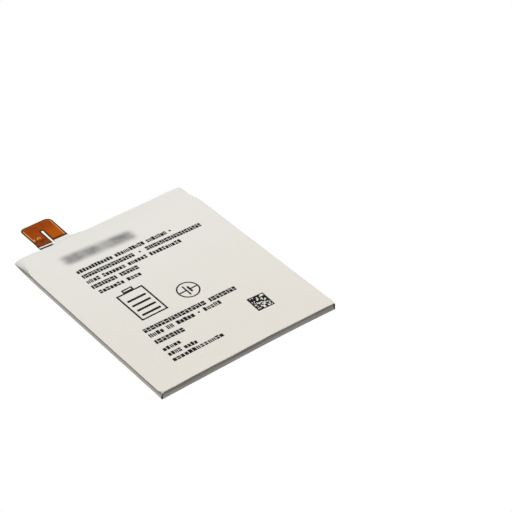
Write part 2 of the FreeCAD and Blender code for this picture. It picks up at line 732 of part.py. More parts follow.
def test_pads():
    """Two bare gold pads on top of the free leg."""
    half_x, half_y = TEST_PAD_HALF_SIZE
    y0 = TEST_PAD_Y - half_y
    y1 = TEST_PAD_Y + half_y
    pads = []
    for x in TEST_PADS_X:
        corners = [(x - half_x, y0, TEST_PAD_CORNER), (x + half_x, y0, TEST_PAD_CORNER),
                   (x + half_x, y1, TEST_PAD_CORNER), (x - half_x, y1, TEST_PAD_CORNER)]
        pads.append(rounded_face(corners, on_plan(FLEX_COVER[1])).extrude(V(0, 0, TEST_PAD)))
    return Part.makeCompound(pads)


def connector_groove():
    """Mating groove on the connector's underside."""
    return box(CONNECTOR_X[0] + GROOVE_END_WALL, CONNECTOR_X[1] - GROOVE_END_WALL,
               CONNECTOR_MIDDLE_Y - GROOVE_HALF_WIDTH, CONNECTOR_MIDDLE_Y + GROOVE_HALF_WIDTH,
               CONNECTOR_BOTTOM - OVERSHOOT, CONNECTOR_BOTTOM + GROOVE_DEPTH)


def contact_blocks():
    """Places of the contacts along both walls of the mating groove."""
    pitch = (CONNECTOR_X[1] - CONNECTOR_X[0] - 2 * CONTACT_END_MARGIN) / (CONTACTS_PER_ROW - 1)
    blocks = []
    for row in (-1, 1):
        y0, y1 = sorted((CONNECTOR_MIDDLE_Y + row * CONTACT_NEAR, CONNECTOR_MIDDLE_Y + row * CONTACT_FAR))
        for index in range(CONTACTS_PER_ROW):
            x = CONNECTOR_X[0] + CONTACT_END_MARGIN + index * pitch
            blocks.append(box(x - CONTACT_HALF_WIDTH, x + CONTACT_HALF_WIDTH, y0, y1,
                              CONNECTOR_BOTTOM + CONTACT_SETBACK, FLEX_BASE[0]))
    return blocks


def clip_blocks():
    """Metal hold-downs on both ends and along the face towards the pack."""
    left, right = CONNECTOR_X
    y0, y1 = CONNECTOR_Y
    low = CONNECTOR_BOTTOM + CLIP_RISE
    top = FLEX_BASE[0]
    return [box(left, left + CLIP, y0 + CLIP_SETBACK, y1 - CLIP_SETBACK, low, top),
            box(right - CLIP, right, y0 + CLIP_SETBACK, y1 - CLIP_SETBACK, low, top),
            box(left + FRONT_CLIP_SETBACK, right - FRONT_CLIP_SETBACK, y0, y0 + FRONT_CLIP,
                CONNECTOR_BOTTOM + FRONT_CLIP_RISE, top)]


def connector_housing():
    """Moulded body of the connector."""
    body = box(*CONNECTOR_X, *CONNECTOR_Y, CONNECTOR_BOTTOM, FLEX_BASE[0])
    body = body.cut(connector_groove())
    for block in contact_blocks() + clip_blocks():
        body = body.cut(block)
    return body


def connector_contacts():
    return Part.makeCompound(contact_blocks())


def connector_clips():
    return Part.makeCompound(clip_blocks())


PIECES = [
    front_label, back_strip_left, back_strip_right, back_strip_bottom,
    end_flap_narrow, end_flap_wide, root_tape,
    pouch_cup, pouch_lid, side_seal_left, side_seal_right,
    cathode, separator_inner, anode, separator_outer, winding_tape,
    positive_tab, negative_tab, tab_seals,
    protection_board, weld_pads, protection_ic, switch_transistor, resistors, capacitors, thermistor,
    thermal_fuse, terrace_tape, board_tape, foam_strip,
    flex_base_root, flex_copper_root, flex_cover_root, flex_root_bend,
    flex_base_bridge, flex_copper_bridge, flex_cover_bridge, flex_leg_bend,
    flex_base_leg, flex_copper_leg, flex_cover_leg, tip_stiffener, test_pads,
    connector_housing, connector_contacts, connector_clips,
]


def main():
    """Write one STEP file for each piece."""
    os.makedirs("parts", exist_ok=True)
    for make in PIECES:
        shape = make()
        shape.exportStep(os.path.join("parts", make.__name__ + ".step"))
        bounds = shape.BoundBox
        print(f"{make.__name__:20s} valid {shape.isValid()} solids {len(shape.Solids)} "
              f"volume {shape.Volume:9.3f} x {bounds.XMin:.2f}..{bounds.XMax:.2f} "
              f"y {bounds.YMin:.2f}..{bounds.YMax:.2f} z {bounds.ZMin:.2f}..{bounds.ZMax:.2f}")


main()
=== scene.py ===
"""Looks of a phone-size lithium-polymer pouch pack with a flexible connector tail.

Shapes are worked out in millimetres in the pack's own frame and turned into metres when a mesh is made.
X runs across the pack, Y along it towards the tail, and Z up through the printed face.
"""

import cmath
import itertools
import json
import math
import random

import bmesh
import bpy
import numpy as np
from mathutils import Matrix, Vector


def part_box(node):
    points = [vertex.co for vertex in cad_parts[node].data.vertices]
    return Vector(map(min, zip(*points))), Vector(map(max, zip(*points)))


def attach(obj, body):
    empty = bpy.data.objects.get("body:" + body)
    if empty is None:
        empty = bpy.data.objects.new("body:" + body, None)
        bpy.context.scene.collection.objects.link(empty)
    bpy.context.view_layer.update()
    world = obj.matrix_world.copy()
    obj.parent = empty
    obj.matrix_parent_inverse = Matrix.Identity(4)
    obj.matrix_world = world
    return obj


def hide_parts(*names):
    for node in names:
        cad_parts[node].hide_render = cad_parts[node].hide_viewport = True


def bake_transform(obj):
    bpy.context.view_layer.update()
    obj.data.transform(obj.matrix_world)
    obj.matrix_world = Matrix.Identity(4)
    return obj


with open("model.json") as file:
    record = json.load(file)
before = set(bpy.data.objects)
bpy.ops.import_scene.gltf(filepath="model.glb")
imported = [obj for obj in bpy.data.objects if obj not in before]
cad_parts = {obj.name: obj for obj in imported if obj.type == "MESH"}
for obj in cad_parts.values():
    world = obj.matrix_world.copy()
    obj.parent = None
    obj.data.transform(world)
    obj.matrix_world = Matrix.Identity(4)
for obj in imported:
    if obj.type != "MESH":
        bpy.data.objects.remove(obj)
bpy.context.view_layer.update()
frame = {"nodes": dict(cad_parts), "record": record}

MM = 0.001


def box_mm(node):
    """Lowest and highest corner of a CAD node in millimetres."""
    low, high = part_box(node)
    return np.array(low) / MM, np.array(high) / MM


LABEL_LOW, LABEL_HIGH = box_mm("front_label")
POUCH_LOW, POUCH_HIGH = box_mm("pouch_cup")
LID_HIGH = box_mm("pouch_lid")[1]
STRIP_LEFT_HIGH = box_mm("back_strip_left")[1]
STRIP_RIGHT_LOW, STRIP_RIGHT_HIGH = box_mm("back_strip_right")
STRIP_BOTTOM_HIGH = box_mm("back_strip_bottom")[1]
FLAP_NARROW_LOW, FLAP_NARROW_HIGH = box_mm("end_flap_narrow")
FLAP_WIDE_LOW, FLAP_WIDE_HIGH = box_mm("end_flap_wide")
SEAL_LOW, SEAL_HIGH = box_mm("side_seal_right")
ROOT_LOW, ROOT_HIGH = box_mm("flex_base_root")
ROOT_COVER_HIGH = box_mm("flex_cover_root")[1]
BRIDGE_LOW, BRIDGE_HIGH = box_mm("flex_base_bridge")
ROOT_BEND_LOW, ROOT_BEND_HIGH = box_mm("flex_root_bend")
LEG_BEND_LOW, LEG_BEND_HIGH = box_mm("flex_leg_bend")
LEG_LOW, LEG_HIGH = box_mm("flex_base_leg")
CONNECTOR_LOW, CONNECTOR_HIGH = box_mm("connector_housing")
TONGUE_LOW, TONGUE_HIGH = box_mm("root_tape")

# The pack's outer form
HALF, TAIL_Y, THICK = LABEL_HIGH
FILM_Y = LABEL_LOW[1] - 0.42
FOLD_Y = POUCH_LOW[1] - 0.14
FILM = 0.08
RAMP_LENGTH = 7.0
RAMP_DROP = 0.6
PINCH_ALONG = 9.0
PINCH_ACROSS = 12.0
PINCH_DROP = 0.45
CORNER_ALONG = 8.0
CORNER_ACROSS = 9.0
CORNER_RISE = 0.1
CORNER_LIFT_FULL = 6.0
CORNER_LIFT_NONE = 14.0
CORNER_LIFT_LEFT = 0.9
CORNER_LIFT_RIGHT = 0.5
FOLD_ROUND_Y = 0.6
FOLD_ROUND_Z = 0.85
FOLD_ROUND_BACK = 0.55
FLARE = 0.2
FLARE_REACH = 5.0
SKEW = 0.85
SKEW_REACH = 12.0
SOFTNESS = 0.1

# Ripples of the film and wavering of its edges, and the lines of the wave plane that the edges follow
RIPPLE = 0.05
SIDE_WAVER = 0.06
WAVE_GAIN = 1.6
SIDE_LINE = 37.0
WALL_LINE = 29.0
SEAL_LINE = 5.0
FRONT_EDGE_LINE = -43.0
BACK_EDGE_LINE = 12.0
EDGE_FADE = 3

# The long walls in section: distances in from the widest point against heights
WALL_INSET = 0.10
LOWER_RADIUS_Z = 1.05
LOWER_LOSS_LEFT = 0.35
LOWER_LOSS_RIGHT = 0.75
UPPER_WALL = [(0.10, 1.20), (0.12, 1.45), (0.18, 1.68), (0.34, 1.90), (0.48, 2.15), (0.50, 2.50),
              (0.40, 2.80), (0.14, 2.99), (0.00, 3.07), (0.02, 3.14), (0.09, 3.19), (0.20, 3.20)]
POUCH_HALF = POUCH_HIGH[0] - 0.36
END_RADIUS_LEFT = 1.9
END_RADIUS_RIGHT = 0.7
END_RADIUS_REACH = 1.3
TAIL_RADIUS = (3.4, 2.1)
TAIL_RADIUS_REACH = 12.5
DEEPER_REACH = 9
DEEPER_SHARE = 0.15
UNEVEN_SHARE = 0.10
END_ROUND = 0.35

# The white film on the back
TURNED = HALF - STRIP_RIGHT_HIGH[0]
FLAP_SIDE = HALF + FLAP_NARROW_LOW[0]
WINDOW_LEFT = STRIP_LEFT_HIGH[0]
WINDOW_RIGHT = STRIP_RIGHT_LOW[0]
WINDOW_BOTTOM = STRIP_BOTTOM_HIGH[1]
WINDOW_TOP = FLAP_WIDE_LOW[1]
SEAM = 0.1
TUCK = 0.35
TUCK_STEP = 0.02
RECESS = 0.19
GAP = 0.01
UNDER_FILM = FILM + GAP
LOWER_RADIUS_X = TURNED - WALL_INSET

MERGE = 1e-5


# ---- mesh making

def add_object(name, data):
    """New object in the scene."""
    made = bpy.data.objects.new(name, data)
    bpy.context.scene.collection.objects.link(made)
    return made


def finish_mesh(name, bm, crease=35):
    """Object from a bmesh in millimetres, with outward normals and smooth shading up to an angle."""
    bmesh.ops.remove_doubles(bm, verts=bm.verts, dist=MERGE)
    bmesh.ops.recalc_face_normals(bm, faces=bm.faces)
    bmesh.ops.scale(bm, vec=(MM, MM, MM), verts=bm.verts)
    mesh = bpy.data.meshes.new(name)
    bm.to_mesh(mesh)
    bm.free()
    mesh.shade_smooth()
    mesh.set_sharp_from_angle(angle=math.radians(crease))
    return add_object(name, mesh)


def grid_normals(points):
    """Unit normals of a grid of points, row by column, turned to the right of the row direction."""
    along = np.gradient(points, axis=0)
    across = np.gradient(points, axis=1)
    normals = np.cross(across, along)
    return normals / np.maximum(np.linalg.norm(normals, axis=2, keepdims=True), 1e-9)


def film_sheet(name, rows, keep=None, inwards=FILM):
    """Closed film under rows of outer points; keep marks the cells that exist."""
    outer = np.array(rows)
    sides = (outer, outer + inwards * grid_normals(outer))
    rows, columns = outer.shape[:2]
    if keep is None:
        keep = np.ones((rows - 1, columns - 1), bool)
    bm = bmesh.new()
    made = {}

    def vert(side, *cell):
        if (side, cell) not in made:
            made[side, cell] = bm.verts.new(sides[side][cell])
        return made[side, cell]

    for row in range(rows - 1):
        for column in range(columns - 1):
            if not keep[row, column]:
                continue
            corners = [(row, column), (row, column + 1), (row + 1, column + 1), (row + 1, column)]
            bm.faces.new([vert(0, *c) for c in corners])
            bm.faces.new([vert(1, *c) for c in reversed(corners)])
            beside = [(row - 1, column), (row, column + 1), (row + 1, column), (row, column - 1)]
            for index, (r, c) in enumerate(beside):
                if 0 <= r < rows - 1 and 0 <= c < columns - 1 and keep[r, c]:
                    continue
                a, b = corners[index], corners[(index + 1) % 4]
                bm.faces.new([vert(0, *b), vert(0, *a), vert(1, *a), vert(1, *b)])
    return finish_mesh(name, bm)


def skin(bm, rings, closed=False):
    """Faces through equal rings of points, with a face at both ends or closed into a loop."""
    loops = [[bm.verts.new(point) for point in ring] for ring in rings]
    if closed:
        loops.append(loops[0])
    else:
        bm.faces.new(loops[0][::-1])
        bm.faces.new(loops[-1])
    count = len(rings[0])
    for near, far in zip(loops, loops[1:]):
        for index in range(count):
            following = (index + 1) % count
            bm.faces.new([near[index], near[following], far[following], far[index]])


def loft(name, rings, crease=35):
    """Closed mesh through equal rings of points, with flat ends."""
    bm = bmesh.new()
    skin(bm, rings)
    return finish_mesh(name, bm, crease)


def rounded_outline(corners, steps):
    """Points of a closed outline from (u, v, radius) corners."""
    points = []
    places = [complex(u, v) for u, v, _ in corners]
    for index, (here, (_, _, radius)) in enumerate(zip(places, corners)):
        if radius <= 0:
            points.append(here)
            continue
        back = places[index - 1] - here
        ahead = places[(index + 1) % len(places)] - here
        back /= abs(back)
        ahead /= abs(ahead)
        half_angle = abs(cmath.phase(ahead / back)) / 2
        middle = (back + ahead) / abs(back + ahead)
        centre = here + middle * radius / math.sin(half_angle)
        reach = radius / math.tan(half_angle)
        start = here + back * reach - centre
        turn = cmath.phase((here + ahead * reach - centre) / start)
        points.extend(centre + start * cmath.rect(1, turn * step / steps) for step in range(steps + 1))
    return [(point.real, point.imag) for point in points]


def spread(*stops):
    """Increasing positions from (start, step) stops; the last stop is the end."""
    found = []
    for (start, step), (end, _) in zip(stops, stops[1:]):
        count = max(1, round((end - start) / step))
        found.extend(start + (end - start) * index / count for index in range(count))
    found.append(stops[-1][0])
    return np.array(found)


# ---- the pack's form

def waves(seed, count, longest, shortest):
    """Seeded set of gentle waves over the X, Y plane."""
    chance = random.Random(seed)
    made = []
    for _ in range(count):
        angle = chance.uniform(0, math.pi)
        length = chance.uniform(shortest, longest)
        made.append((2 * math.pi * math.cos(angle) / length, 2 * math.pi * math.sin(angle) / length,
                     chance.uniform(0, 2 * math.pi)))
    return made


FACE_WAVES = waves(11, 6, 60, 18)
EDGE_WAVES = waves(23, 5, 34, 9)


def swell(x, y, family):
    """Value of a wave family at a point, from -1 to 1."""
    total = sum(np.sin(kx * x + ky * y + phase) for kx, ky, phase in family)
    return np.clip(total / len(family) * WAVE_GAIN, -1, 1)


def smooth(share):
    """Share from 0 to 1 with a level start and a level end."""
    return share * share * (3 - 2 * share)


def soft_max(a, b):
    """Larger of two values with a smooth crossing."""
    return (a + b + np.sqrt((a - b) ** 2 + SOFTNESS ** 2)) / 2


def thinning(x, y):
    """How far the front and back draw in towards the tail end and its two corners."""
    from_end = TAIL_Y - y
    from_side = HALF - np.abs(x)
    ramp = RAMP_DROP * (1 - from_end / RAMP_LENGTH)
    pinch = (RAMP_DROP + PINCH_DROP) * (1 - from_end / PINCH_ALONG) - PINCH_DROP * from_side / PINCH_ACROSS
    return soft_max(0, soft_max(ramp, pinch))


def fold_round(y):
    """How far a face draws in over the rounded fold end, as a share of its rounding's height."""
    share = np.clip((FOLD_Y + FOLD_ROUND_Y - y) / FOLD_ROUND_Y, 0, 1)
    return 1 - np.sqrt(1 - share ** 2)


def corner_lift(x):
    """Share of the thinning that the front face loses beside its two corners at the tail end."""
    share = np.clip((CORNER_LIFT_NONE - HALF + np.abs(x)) / (CORNER_LIFT_NONE - CORNER_LIFT_FULL), 0, 1)
    lift = np.where(np.asarray(x) > 0, CORNER_LIFT_RIGHT, CORNER_LIFT_LEFT)
    return lift * smooth(share)


def front_level(x, y):
    """Height of the film's front surface."""
    drop = thinning(x, y) * (1 - corner_lift(x))
    return THICK - drop - FOLD_ROUND_Z * fold_round(y) - RIPPLE * (0.5 + 0.5 * swell(x, y, FACE_WAVES))


def back_level(x, y):
    """Height of the film's back surface."""
    along = np.clip(1 - (TAIL_Y - y) / CORNER_ALONG, 0, 1)
    across = np.clip(1 - (HALF - np.abs(x)) / CORNER_ACROSS, 0, 1)
    return thinning(x, y) + CORNER_RISE * (along * across) ** 1.5 + FOLD_ROUND_BACK * fold_round(y)


def near_fold(y, reach):
    """Smooth share from 1 at the film's edge at the fold end to 0 beyond a reach."""
    return smooth(np.clip(1 - (y - FILM_Y) / reach, 0, 1))


def near_tail(y):
    """Smooth share from 1 at the tail end to 0 where the long walls take their full form."""
    return smooth(np.clip(1 - (TAIL_Y - y) / TAIL_RADIUS_REACH, 0, 1))


def lower_height(x, y):
    """Height of the rounding between the back and a long wall, lower at the fold end's corners."""
    loss = np.where(np.asarray(x) > 0, LOWER_LOSS_RIGHT, LOWER_LOSS_LEFT)
    return LOWER_RADIUS_Z * (1 - loss * near_fold(y, END_RADIUS_REACH))


def side_rise(x, y):
    """Level of the rounding between the back and the long walls."""
    share = np.clip((HALF - WALL_INSET - np.abs(x)) / LOWER_RADIUS_X, 0, 1)
    return lower_height(x, y) * (1 - np.sqrt(1 - (1 - share) ** 2))


def flare(x, y):
    """How far the right side stands out towards the fold end."""
    return FLARE * near_fold(y, FLARE_REACH) * np.clip(x / HALF, 0, 1) ** 8


def skew(x, y):
    """How far the fold end runs out of square towards its right corner."""
    return SKEW * near_fold(y, SKEW_REACH) * np.clip(x / HALF, 0, 1) ** 2


def place(x, share, y):
    """Point of the outer surface; share runs from 0 on the back to 1 on the front."""
    low = back_level(x, y)
    high = front_level(x, y)
    side = 1 - SIDE_WAVER / HALF * (0.5 + 0.5 * swell(SIDE_LINE * np.sign(x), y, EDGE_WAVES))
    return np.stack([x * side + flare(x, y), y - skew(x, y), low + share * (high - low)], axis=-1)


def towards_middle(points, distance):
    """Points moved across the section towards its middle line, by a distance in millimetres."""
    x, y = points[..., 0], points[..., 1]
    half_height = (front_level(x, y) - back_level(x, y)) / 2
    middle_x = np.clip(x, -(HALF - half_height), HALF - half_height)
    middle_z = (front_level(middle_x, y) + back_level(middle_x, y)) / 2
    gap = np.stack([middle_x, y, middle_z], axis=-1) - points
    length = np.maximum(np.linalg.norm(gap, axis=-1, keepdims=True), 1e-6)
    return points + gap / length * np.minimum(distance, length * 0.94)


def over_tail_end(last_row):
    """Rows that carry a sheet round the tail end's edge and down the end wall to the seam."""
    rows = []
    for angle in np.radians([20, 40, 60, 75, 90]):
        row = towards_middle(last_row, END_ROUND * (1 - math.cos(angle)))
        row[:, 1] = TAIL_Y - END_ROUND + END_ROUND * math.sin(angle)
        rows.append(row)
    for reach in (0.5, 0.7, 0.9, 1.4):
        row = towards_middle(last_row, reach)
        row[:, 1] = TAIL_Y
        rows.append(row)
    return rows


def wall_section(y, turned, side, end_radius):
    """One side of the printed film at y, from its tucked edge up to the front face, as (inset, z)."""
    first = math.asin(1 - (turned - WALL_INSET) / LOWER_RADIUS_X)
    angles = np.linspace(first, math.pi / 2, 10)[:-1]
    rise = lower_height(side, y)
    points = [(WALL_INSET + LOWER_RADIUS_X * (1 - math.sin(a)), rise * (1 - math.cos(a))) for a in angles]
    points.insert(0, (points[0][0] + TUCK_STEP, points[0][1] + FILM + TUCK_STEP))
    points.insert(0, (points[0][0] + TUCK, points[0][1] - TUCK_STEP))
    rounded, radii = max((near_fold(y, END_RADIUS_REACH), (end_radius, end_radius)),
                         (near_tail(y), TAIL_RADIUS))
    deeper = max(0.0, 1 - (TAIL_Y - y) / DEEPER_REACH)
    depth = 1 + UNEVEN_SHARE * swell(WALL_LINE, y, EDGE_WAVES) + DEEPER_SHARE * deeper
    for index, (inset, z) in enumerate(UPPER_WALL):
        angle = math.pi / 2 * index / (len(UPPER_WALL) - 1)
        round_inset = WALL_INSET + radii[0] * (1 - math.cos(angle))
        round_z = THICK - radii[1] * (1 - math.sin(angle))
        points.append((inset * depth * (1 - rounded) + round_inset * rounded,
                       z * (1 - rounded) + round_z * rounded))
    return points


def front_section(y):
    """Section of the printed film at y, from one turned edge over the front to the other, as (x, share)."""
    turned_left = FLAP_SIDE if y > WINDOW_TOP else TURNED
    right = wall_section(y, TURNED, 1, END_RADIUS_RIGHT)
    left = wall_section(y, turned_left, -1, END_RADIUS_LEFT)[::-1]
    flat = np.linspace(HALF - right[-1][0], left[0][0] - HALF, 52)[1:-1]
    x = [HALF - inset for inset, _ in right] + list(flat) + [inset - HALF for inset, _ in left]
    z = [height for _, height in right] + [THICK] * len(flat) + [height for _, height in left]
    return np.array(x), np.array(z) / THICK


def edge_fade(y):
    """Share of the wandering of a film edge at the fold end that is left at y."""
    return max(0.0, 1 - (y - FILM_Y) / EDGE_FADE)


def printed_film():
    """Front face, side walls, edges turned on to the back, and the upper half of the end wall."""
    rows = []
    for y in spread((FILM_Y, 0.12), (FILM_Y + 0.9, 0.4), (FILM_Y + 2.5, 1.2), (WINDOW_TOP - 0.4, 0.2),
                    (WINDOW_TOP + 0.2, 0.6), (TAIL_Y - END_ROUND, 1)):
        x, share = front_section(y)
        wander = 0.05 * swell(x, FRONT_EDGE_LINE, EDGE_WAVES) - 0.03
        rows.append(place(x, share, y + wander * edge_fade(y)))
    return film_sheet("printed_film", rows + over_tail_end(rows[-1]))


def back_frame():
    """White film border round the bare window, with its lower edge drawn over the fold end."""
    edge = HALF - TURNED
    columns = spread((-edge, 1.4), (WINDOW_LEFT, 1.6), (WINDOW_RIGHT, 1.4), (edge, 1))
    along = spread((FILM_Y, 0.12), (FILM_Y + 0.9, 1.2), (WINDOW_BOTTOM, 1.6), (WINDOW_TOP - SEAM, 1))
    keep = np.ones((len(along) - 1, len(columns) - 1), bool)
    middle_x = (columns[:-1] + columns[1:]) / 2
    middle_y = (along[:-1] + along[1:]) / 2
    inside = (middle_x > WINDOW_LEFT) & (middle_x < WINDOW_RIGHT)
    keep[np.ix_(middle_y > WINDOW_BOTTOM, inside)] = False
    reach = 0.10 + 0.06 * swell(columns * 0.7, BACK_EDGE_LINE, EDGE_WAVES)
    rows = [place(columns, side_rise(columns, y) / THICK, y - reach * edge_fade(y)) for y in along]
    return film_sheet("back_frame", rows, keep)


def flap(name, left, right):
    """One film flap folded over the tail end on to the back."""
    columns = spread((left, 0.12), (left + 0.9, 1.4), (right - 0.6, 0.2), (right, 1))
    along = spread((WINDOW_TOP, 1.0), (TAIL_Y - RAMP_LENGTH - 2, 0.6), (TAIL_Y - END_ROUND, 1))
    rows = [place(columns, side_rise(columns, y) / THICK, y) for y in along]
    return film_sheet(name, rows + over_tail_end(rows[-1]))


def pouch_ring(y, side, low_at, high_at, front_radii, back_radii):
    """Closed section of the pouch at y, from the right of its front round to the right of its back."""
    ring = []
    for first, radii, count, level_at, towards in ((1, front_radii, 9, high_at, -1),
                                                   (-1, back_radii, 7, low_at, 1)):
        for sign in (first, -first):
            radius = radii[sign > 0]
            quarter = np.linspace(0, 90, count) if sign == first else np.linspace(90, 0, count)
            for angle in np.radians(quarter):
                x = sign * (side - radius * (1 - math.cos(angle)))
                ring.append((x, y, level_at(x) + towards * radius * (1 - math.sin(angle))))
            if sign == first:
                across = np.linspace(sign * (side - radius), sign * (radii[sign < 0] - side), 58)[1:-1]
                ring.extend((x, y, level_at(x)) for x in across)
    return [(x + flare(x, y), y - skew(x, y), z) for x, y, z in ring]


def pouch_body():
    """Laminate pouch: rounded fold end, bare back, hidden chamber end and sealed terrace."""
    arc = np.radians([3, 10, 18, 27, 36, 46, 57, 68, 80, 90])
    rows = list(FOLD_Y + 0.07 + FOLD_ROUND_Y * (1 - np.cos(arc)))
    rows += list(spread((FOLD_Y + 1.0, 0.5), (FOLD_Y + 4.0, 1.4), (WINDOW_BOTTOM - 0.5, 0.25),
                        (WINDOW_BOTTOM + 0.6, 1.6), (WINDOW_TOP - 0.6, 0.3), (WINDOW_TOP + 0.6, 0.6),
                        (TAIL_Y - RAMP_LENGTH, 1)))
    nose_length, nose_inset, corner_length = 0.9, 0.5, 2.2
    recess_start, recess_length = 1.0, 3.0
    front_radius, front_share, back_radius, back_share = 0.75, 0.56, 0.95, 0.42
    wider_at_fold, narrower_at_tail, rounder_at_tail = 0.25, 0.6, 1.4
    rings = []
    for y in rows:
        from_fold = y - FOLD_Y
        nose = nose_inset * (1 - math.sqrt(1 - max(0.0, 1 - from_fold / nose_length) ** 2))
        rounded = max(0.0, 1 - from_fold / corner_length)
        deep = min(1.0, max(0.0, (from_fold - recess_start) / recess_length))
        recess = UNDER_FILM + (RECESS - UNDER_FILM) * deep
        height = front_level(0.0, y) - back_level(0.0, y) - 0.2
        at_tail = near_tail(y)
        front_radii = [min(front_radius + (radius - 0.85) * rounded + rounder_at_tail * at_tail,
                           height * front_share) for radius in (END_RADIUS_LEFT, END_RADIUS_RIGHT)]
        back_radii = [min(back_radius - squarer * rounded, height * back_share) for squarer in (0.25, 0.7)]
        side = POUCH_HALF + wider_at_fold * rounded - nose - narrower_at_tail * at_tail
        rings.append(pouch_ring(y, side, lambda x: back_level(x, y) + recess,
                                lambda x: front_level(x, y) - UNDER_FILM, front_radii, back_radii))
    terrace = LID_HIGH[2]
    half_terrace = 0.13
    corners = [0.12, 0.12]
    for y, inset in ((TAIL_Y - 6.4, 3.0), (LID_HIGH[1] - 0.3, 7.5), (LID_HIGH[1], 7.8)):
        rings.append(pouch_ring(y, POUCH_HALF - inset, lambda x: terrace - half_terrace,
                                lambda x: terrace + half_terrace, corners, corners))
    return loft("pouch_body", rings)


def folded_seal(name, side):
    """Sealed laminate edge folded double against a long wall, open and fuller at the fold end."""
    outer_x = HALF - WALL_INSET - FILM - 0.06
    inner_x = outer_x - (SEAL_HIGH[0] - SEAL_LOW[0])
    middle = (outer_x + inner_x) / 2
    sheet = 0.09
    bevel, crown, inner_leg, hollow, hollow_middle = 0.12, 0.06, 0.2, 0.22, 0.15
    above_low, opening_drop, below_high, tail_drop, waver = 0.42, 0.50, 0.75, 0.6, 0.03
    opening_rise, opening_inset = (0.20, 0.15) if side < 0 else (0.75, 0.04)
    rings = []
    for y in spread((FOLD_Y - 0.04, 0.2), (FOLD_Y + 1.0, 0.5), (SEAL_LOW[1] + 2.5, 2.0), (SEAL_HIGH[1], 1)):
        fuller = near_fold(y, 0.9)
        low = SEAL_LOW[2] + above_low - opening_drop * fuller
        high = SEAL_HIGH[2] - below_high + opening_rise * fuller - tail_drop * near_tail(y)
        outer = outer_x - opening_inset * fuller
        outline = [(outer, low), (outer, high - bevel), (middle + crown, high), (middle - crown, high),
                   (inner_x, high - bevel), (inner_x, low + inner_leg), (inner_x + sheet, low + inner_leg),
                   (inner_x + sheet, high - hollow), (middle, high - hollow_middle),
                   (outer - sheet, high - hollow), (outer - sheet, low)]
        shift = flare(side * HALF, y)
        raised = waver * swell(SEAL_LINE * side, y, EDGE_WAVES)
        rings.append([(side * x + shift, y - skew(side * HALF, y), z + raised) for x, z in outline])
    return loft(name, rings, 30)


# ---- the flexible tail

FLEX_LEFT = BRIDGE_LOW[0]
FLEX_RIGHT = ROOT_HIGH[0]
FLEX_TOP = BRIDGE_HIGH[1]
SLOT_LEFT = LEG_HIGH[0]
SLOT_RIGHT = ROOT_LOW[0]
SLOT_TOP_RIGHT = SLOT_RIGHT + 0.25
SLOT_TOP = LEG_BEND_HIGH[1] + 0.5
SLOT_ROUND = 0.47
LEG_CORNER = LEG_LOW[1] - 0.05
LEG_TIP = LEG_CORNER + 0.36
ROOT_START = ROOT_LOW[1]
FLEX_LOW = ROOT_LOW[2]
FLEX_HIGH = ROOT_COVER_HIGH[2]
FLEX_TOP_OUT = 0.3
TIP_RADIUS, TOP_LEFT_RADIUS, TOP_RIGHT_RADIUS = 0.12, 1.9, 2.3
CONNECTOR_LEFT, CONNECTOR_RIGHT = CONNECTOR_LOW[0] + 0.3, CONNECTOR_HIGH[0] - 0.05
CONNECTOR_FRONT, CONNECTOR_BACK = CONNECTOR_LOW[1] - 0.12, CONNECTOR_HIGH[1]
CONNECTOR_MIDDLE = (CONNECTOR_LEFT + CONNECTOR_RIGHT) / 2
CONNECTOR_WIDTH = CONNECTOR_RIGHT - CONNECTOR_LEFT
CONNECTOR_BOTTOM = CONNECTOR_LOW[2]
CONNECTOR_RIM = (1.34, 1.80)


def flex_corners(edge, slot, root_start):
    """Outline of the flex, drawn in at its outer edges and round its slot."""
    slot_left, slot_right, slot_top = SLOT_LEFT - slot, SLOT_RIGHT + slot, SLOT_TOP + slot
    slot_radius = (SLOT_TOP_RIGHT - SLOT_LEFT) * SLOT_ROUND + slot * 0.93
    left, right, top = FLEX_LEFT + edge, FLEX_RIGHT - edge, FLEX_TOP - edge
    return [(left, LEG_TIP + edge, TIP_RADIUS), (slot_left, LEG_CORNER + edge, TIP_RADIUS),
            (slot_left, slot_top, slot_radius), (SLOT_TOP_RIGHT + slot, slot_top, slot_radius),
            (slot_right, ROOT_BEND_HIGH[1], 0), (slot_right, root_start[0], 0), (right, root_start[1], 0),
            (right + FLEX_TOP_OUT, top, TOP_RIGHT_RADIUS - edge), (left, top, TOP_LEFT_RADIUS - edge)]


def flex_sheet(name, leg, corners, low, high):
    """One layer of the flex, either its free leg or the rest, cut into rows that can bend."""
    bm = bmesh.new()
    outline = rounded_outline(corners, 10)
    bm.faces.new([bm.verts.new((x, y, low)) for x, y in outline])
    for y in spread((ROOT_START + 0.6, 0.8), (ROOT_BEND_LOW[1], 0.2), (ROOT_BEND_HIGH[1], 0.4),
                    (LEG_BEND_LOW[1], 0.2), (LEG_BEND_HIGH[1], 0.6), (FLEX_TOP - 0.6, 1)):
        bmesh.ops.bisect_plane(bm, geom=bm.verts[:] + bm.edges[:] + bm.faces[:], dist=MERGE,
                               plane_co=(0, y, 0), plane_no=(0, 1, 0))
    split_x = (SLOT_LEFT + SLOT_RIGHT) / 2
    middles = [(face, face.calc_center_median()) for face in bm.faces]
    others = [face for face, at in middles if (at.x < split_x and at.y < LEG_BEND_HIGH[1]) != leg]
    bmesh.ops.delete(bm, geom=others, context="FACES")
    raised = bmesh.ops.extrude_face_region(bm, geom=bm.faces[:])
    tops = [item for item in raised["geom"] if isinstance(item, bmesh.types.BMVert)]
    bmesh.ops.translate(bm, vec=(0, 0, high - low), verts=tops)
    return finish_mesh(name, bm, 30)


def bend(piece, leg):
    """Bakes a piece's placement into its mesh, the same way for the free leg as for the rest."""
    if leg:
        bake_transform(piece)
    else:
        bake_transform(piece)


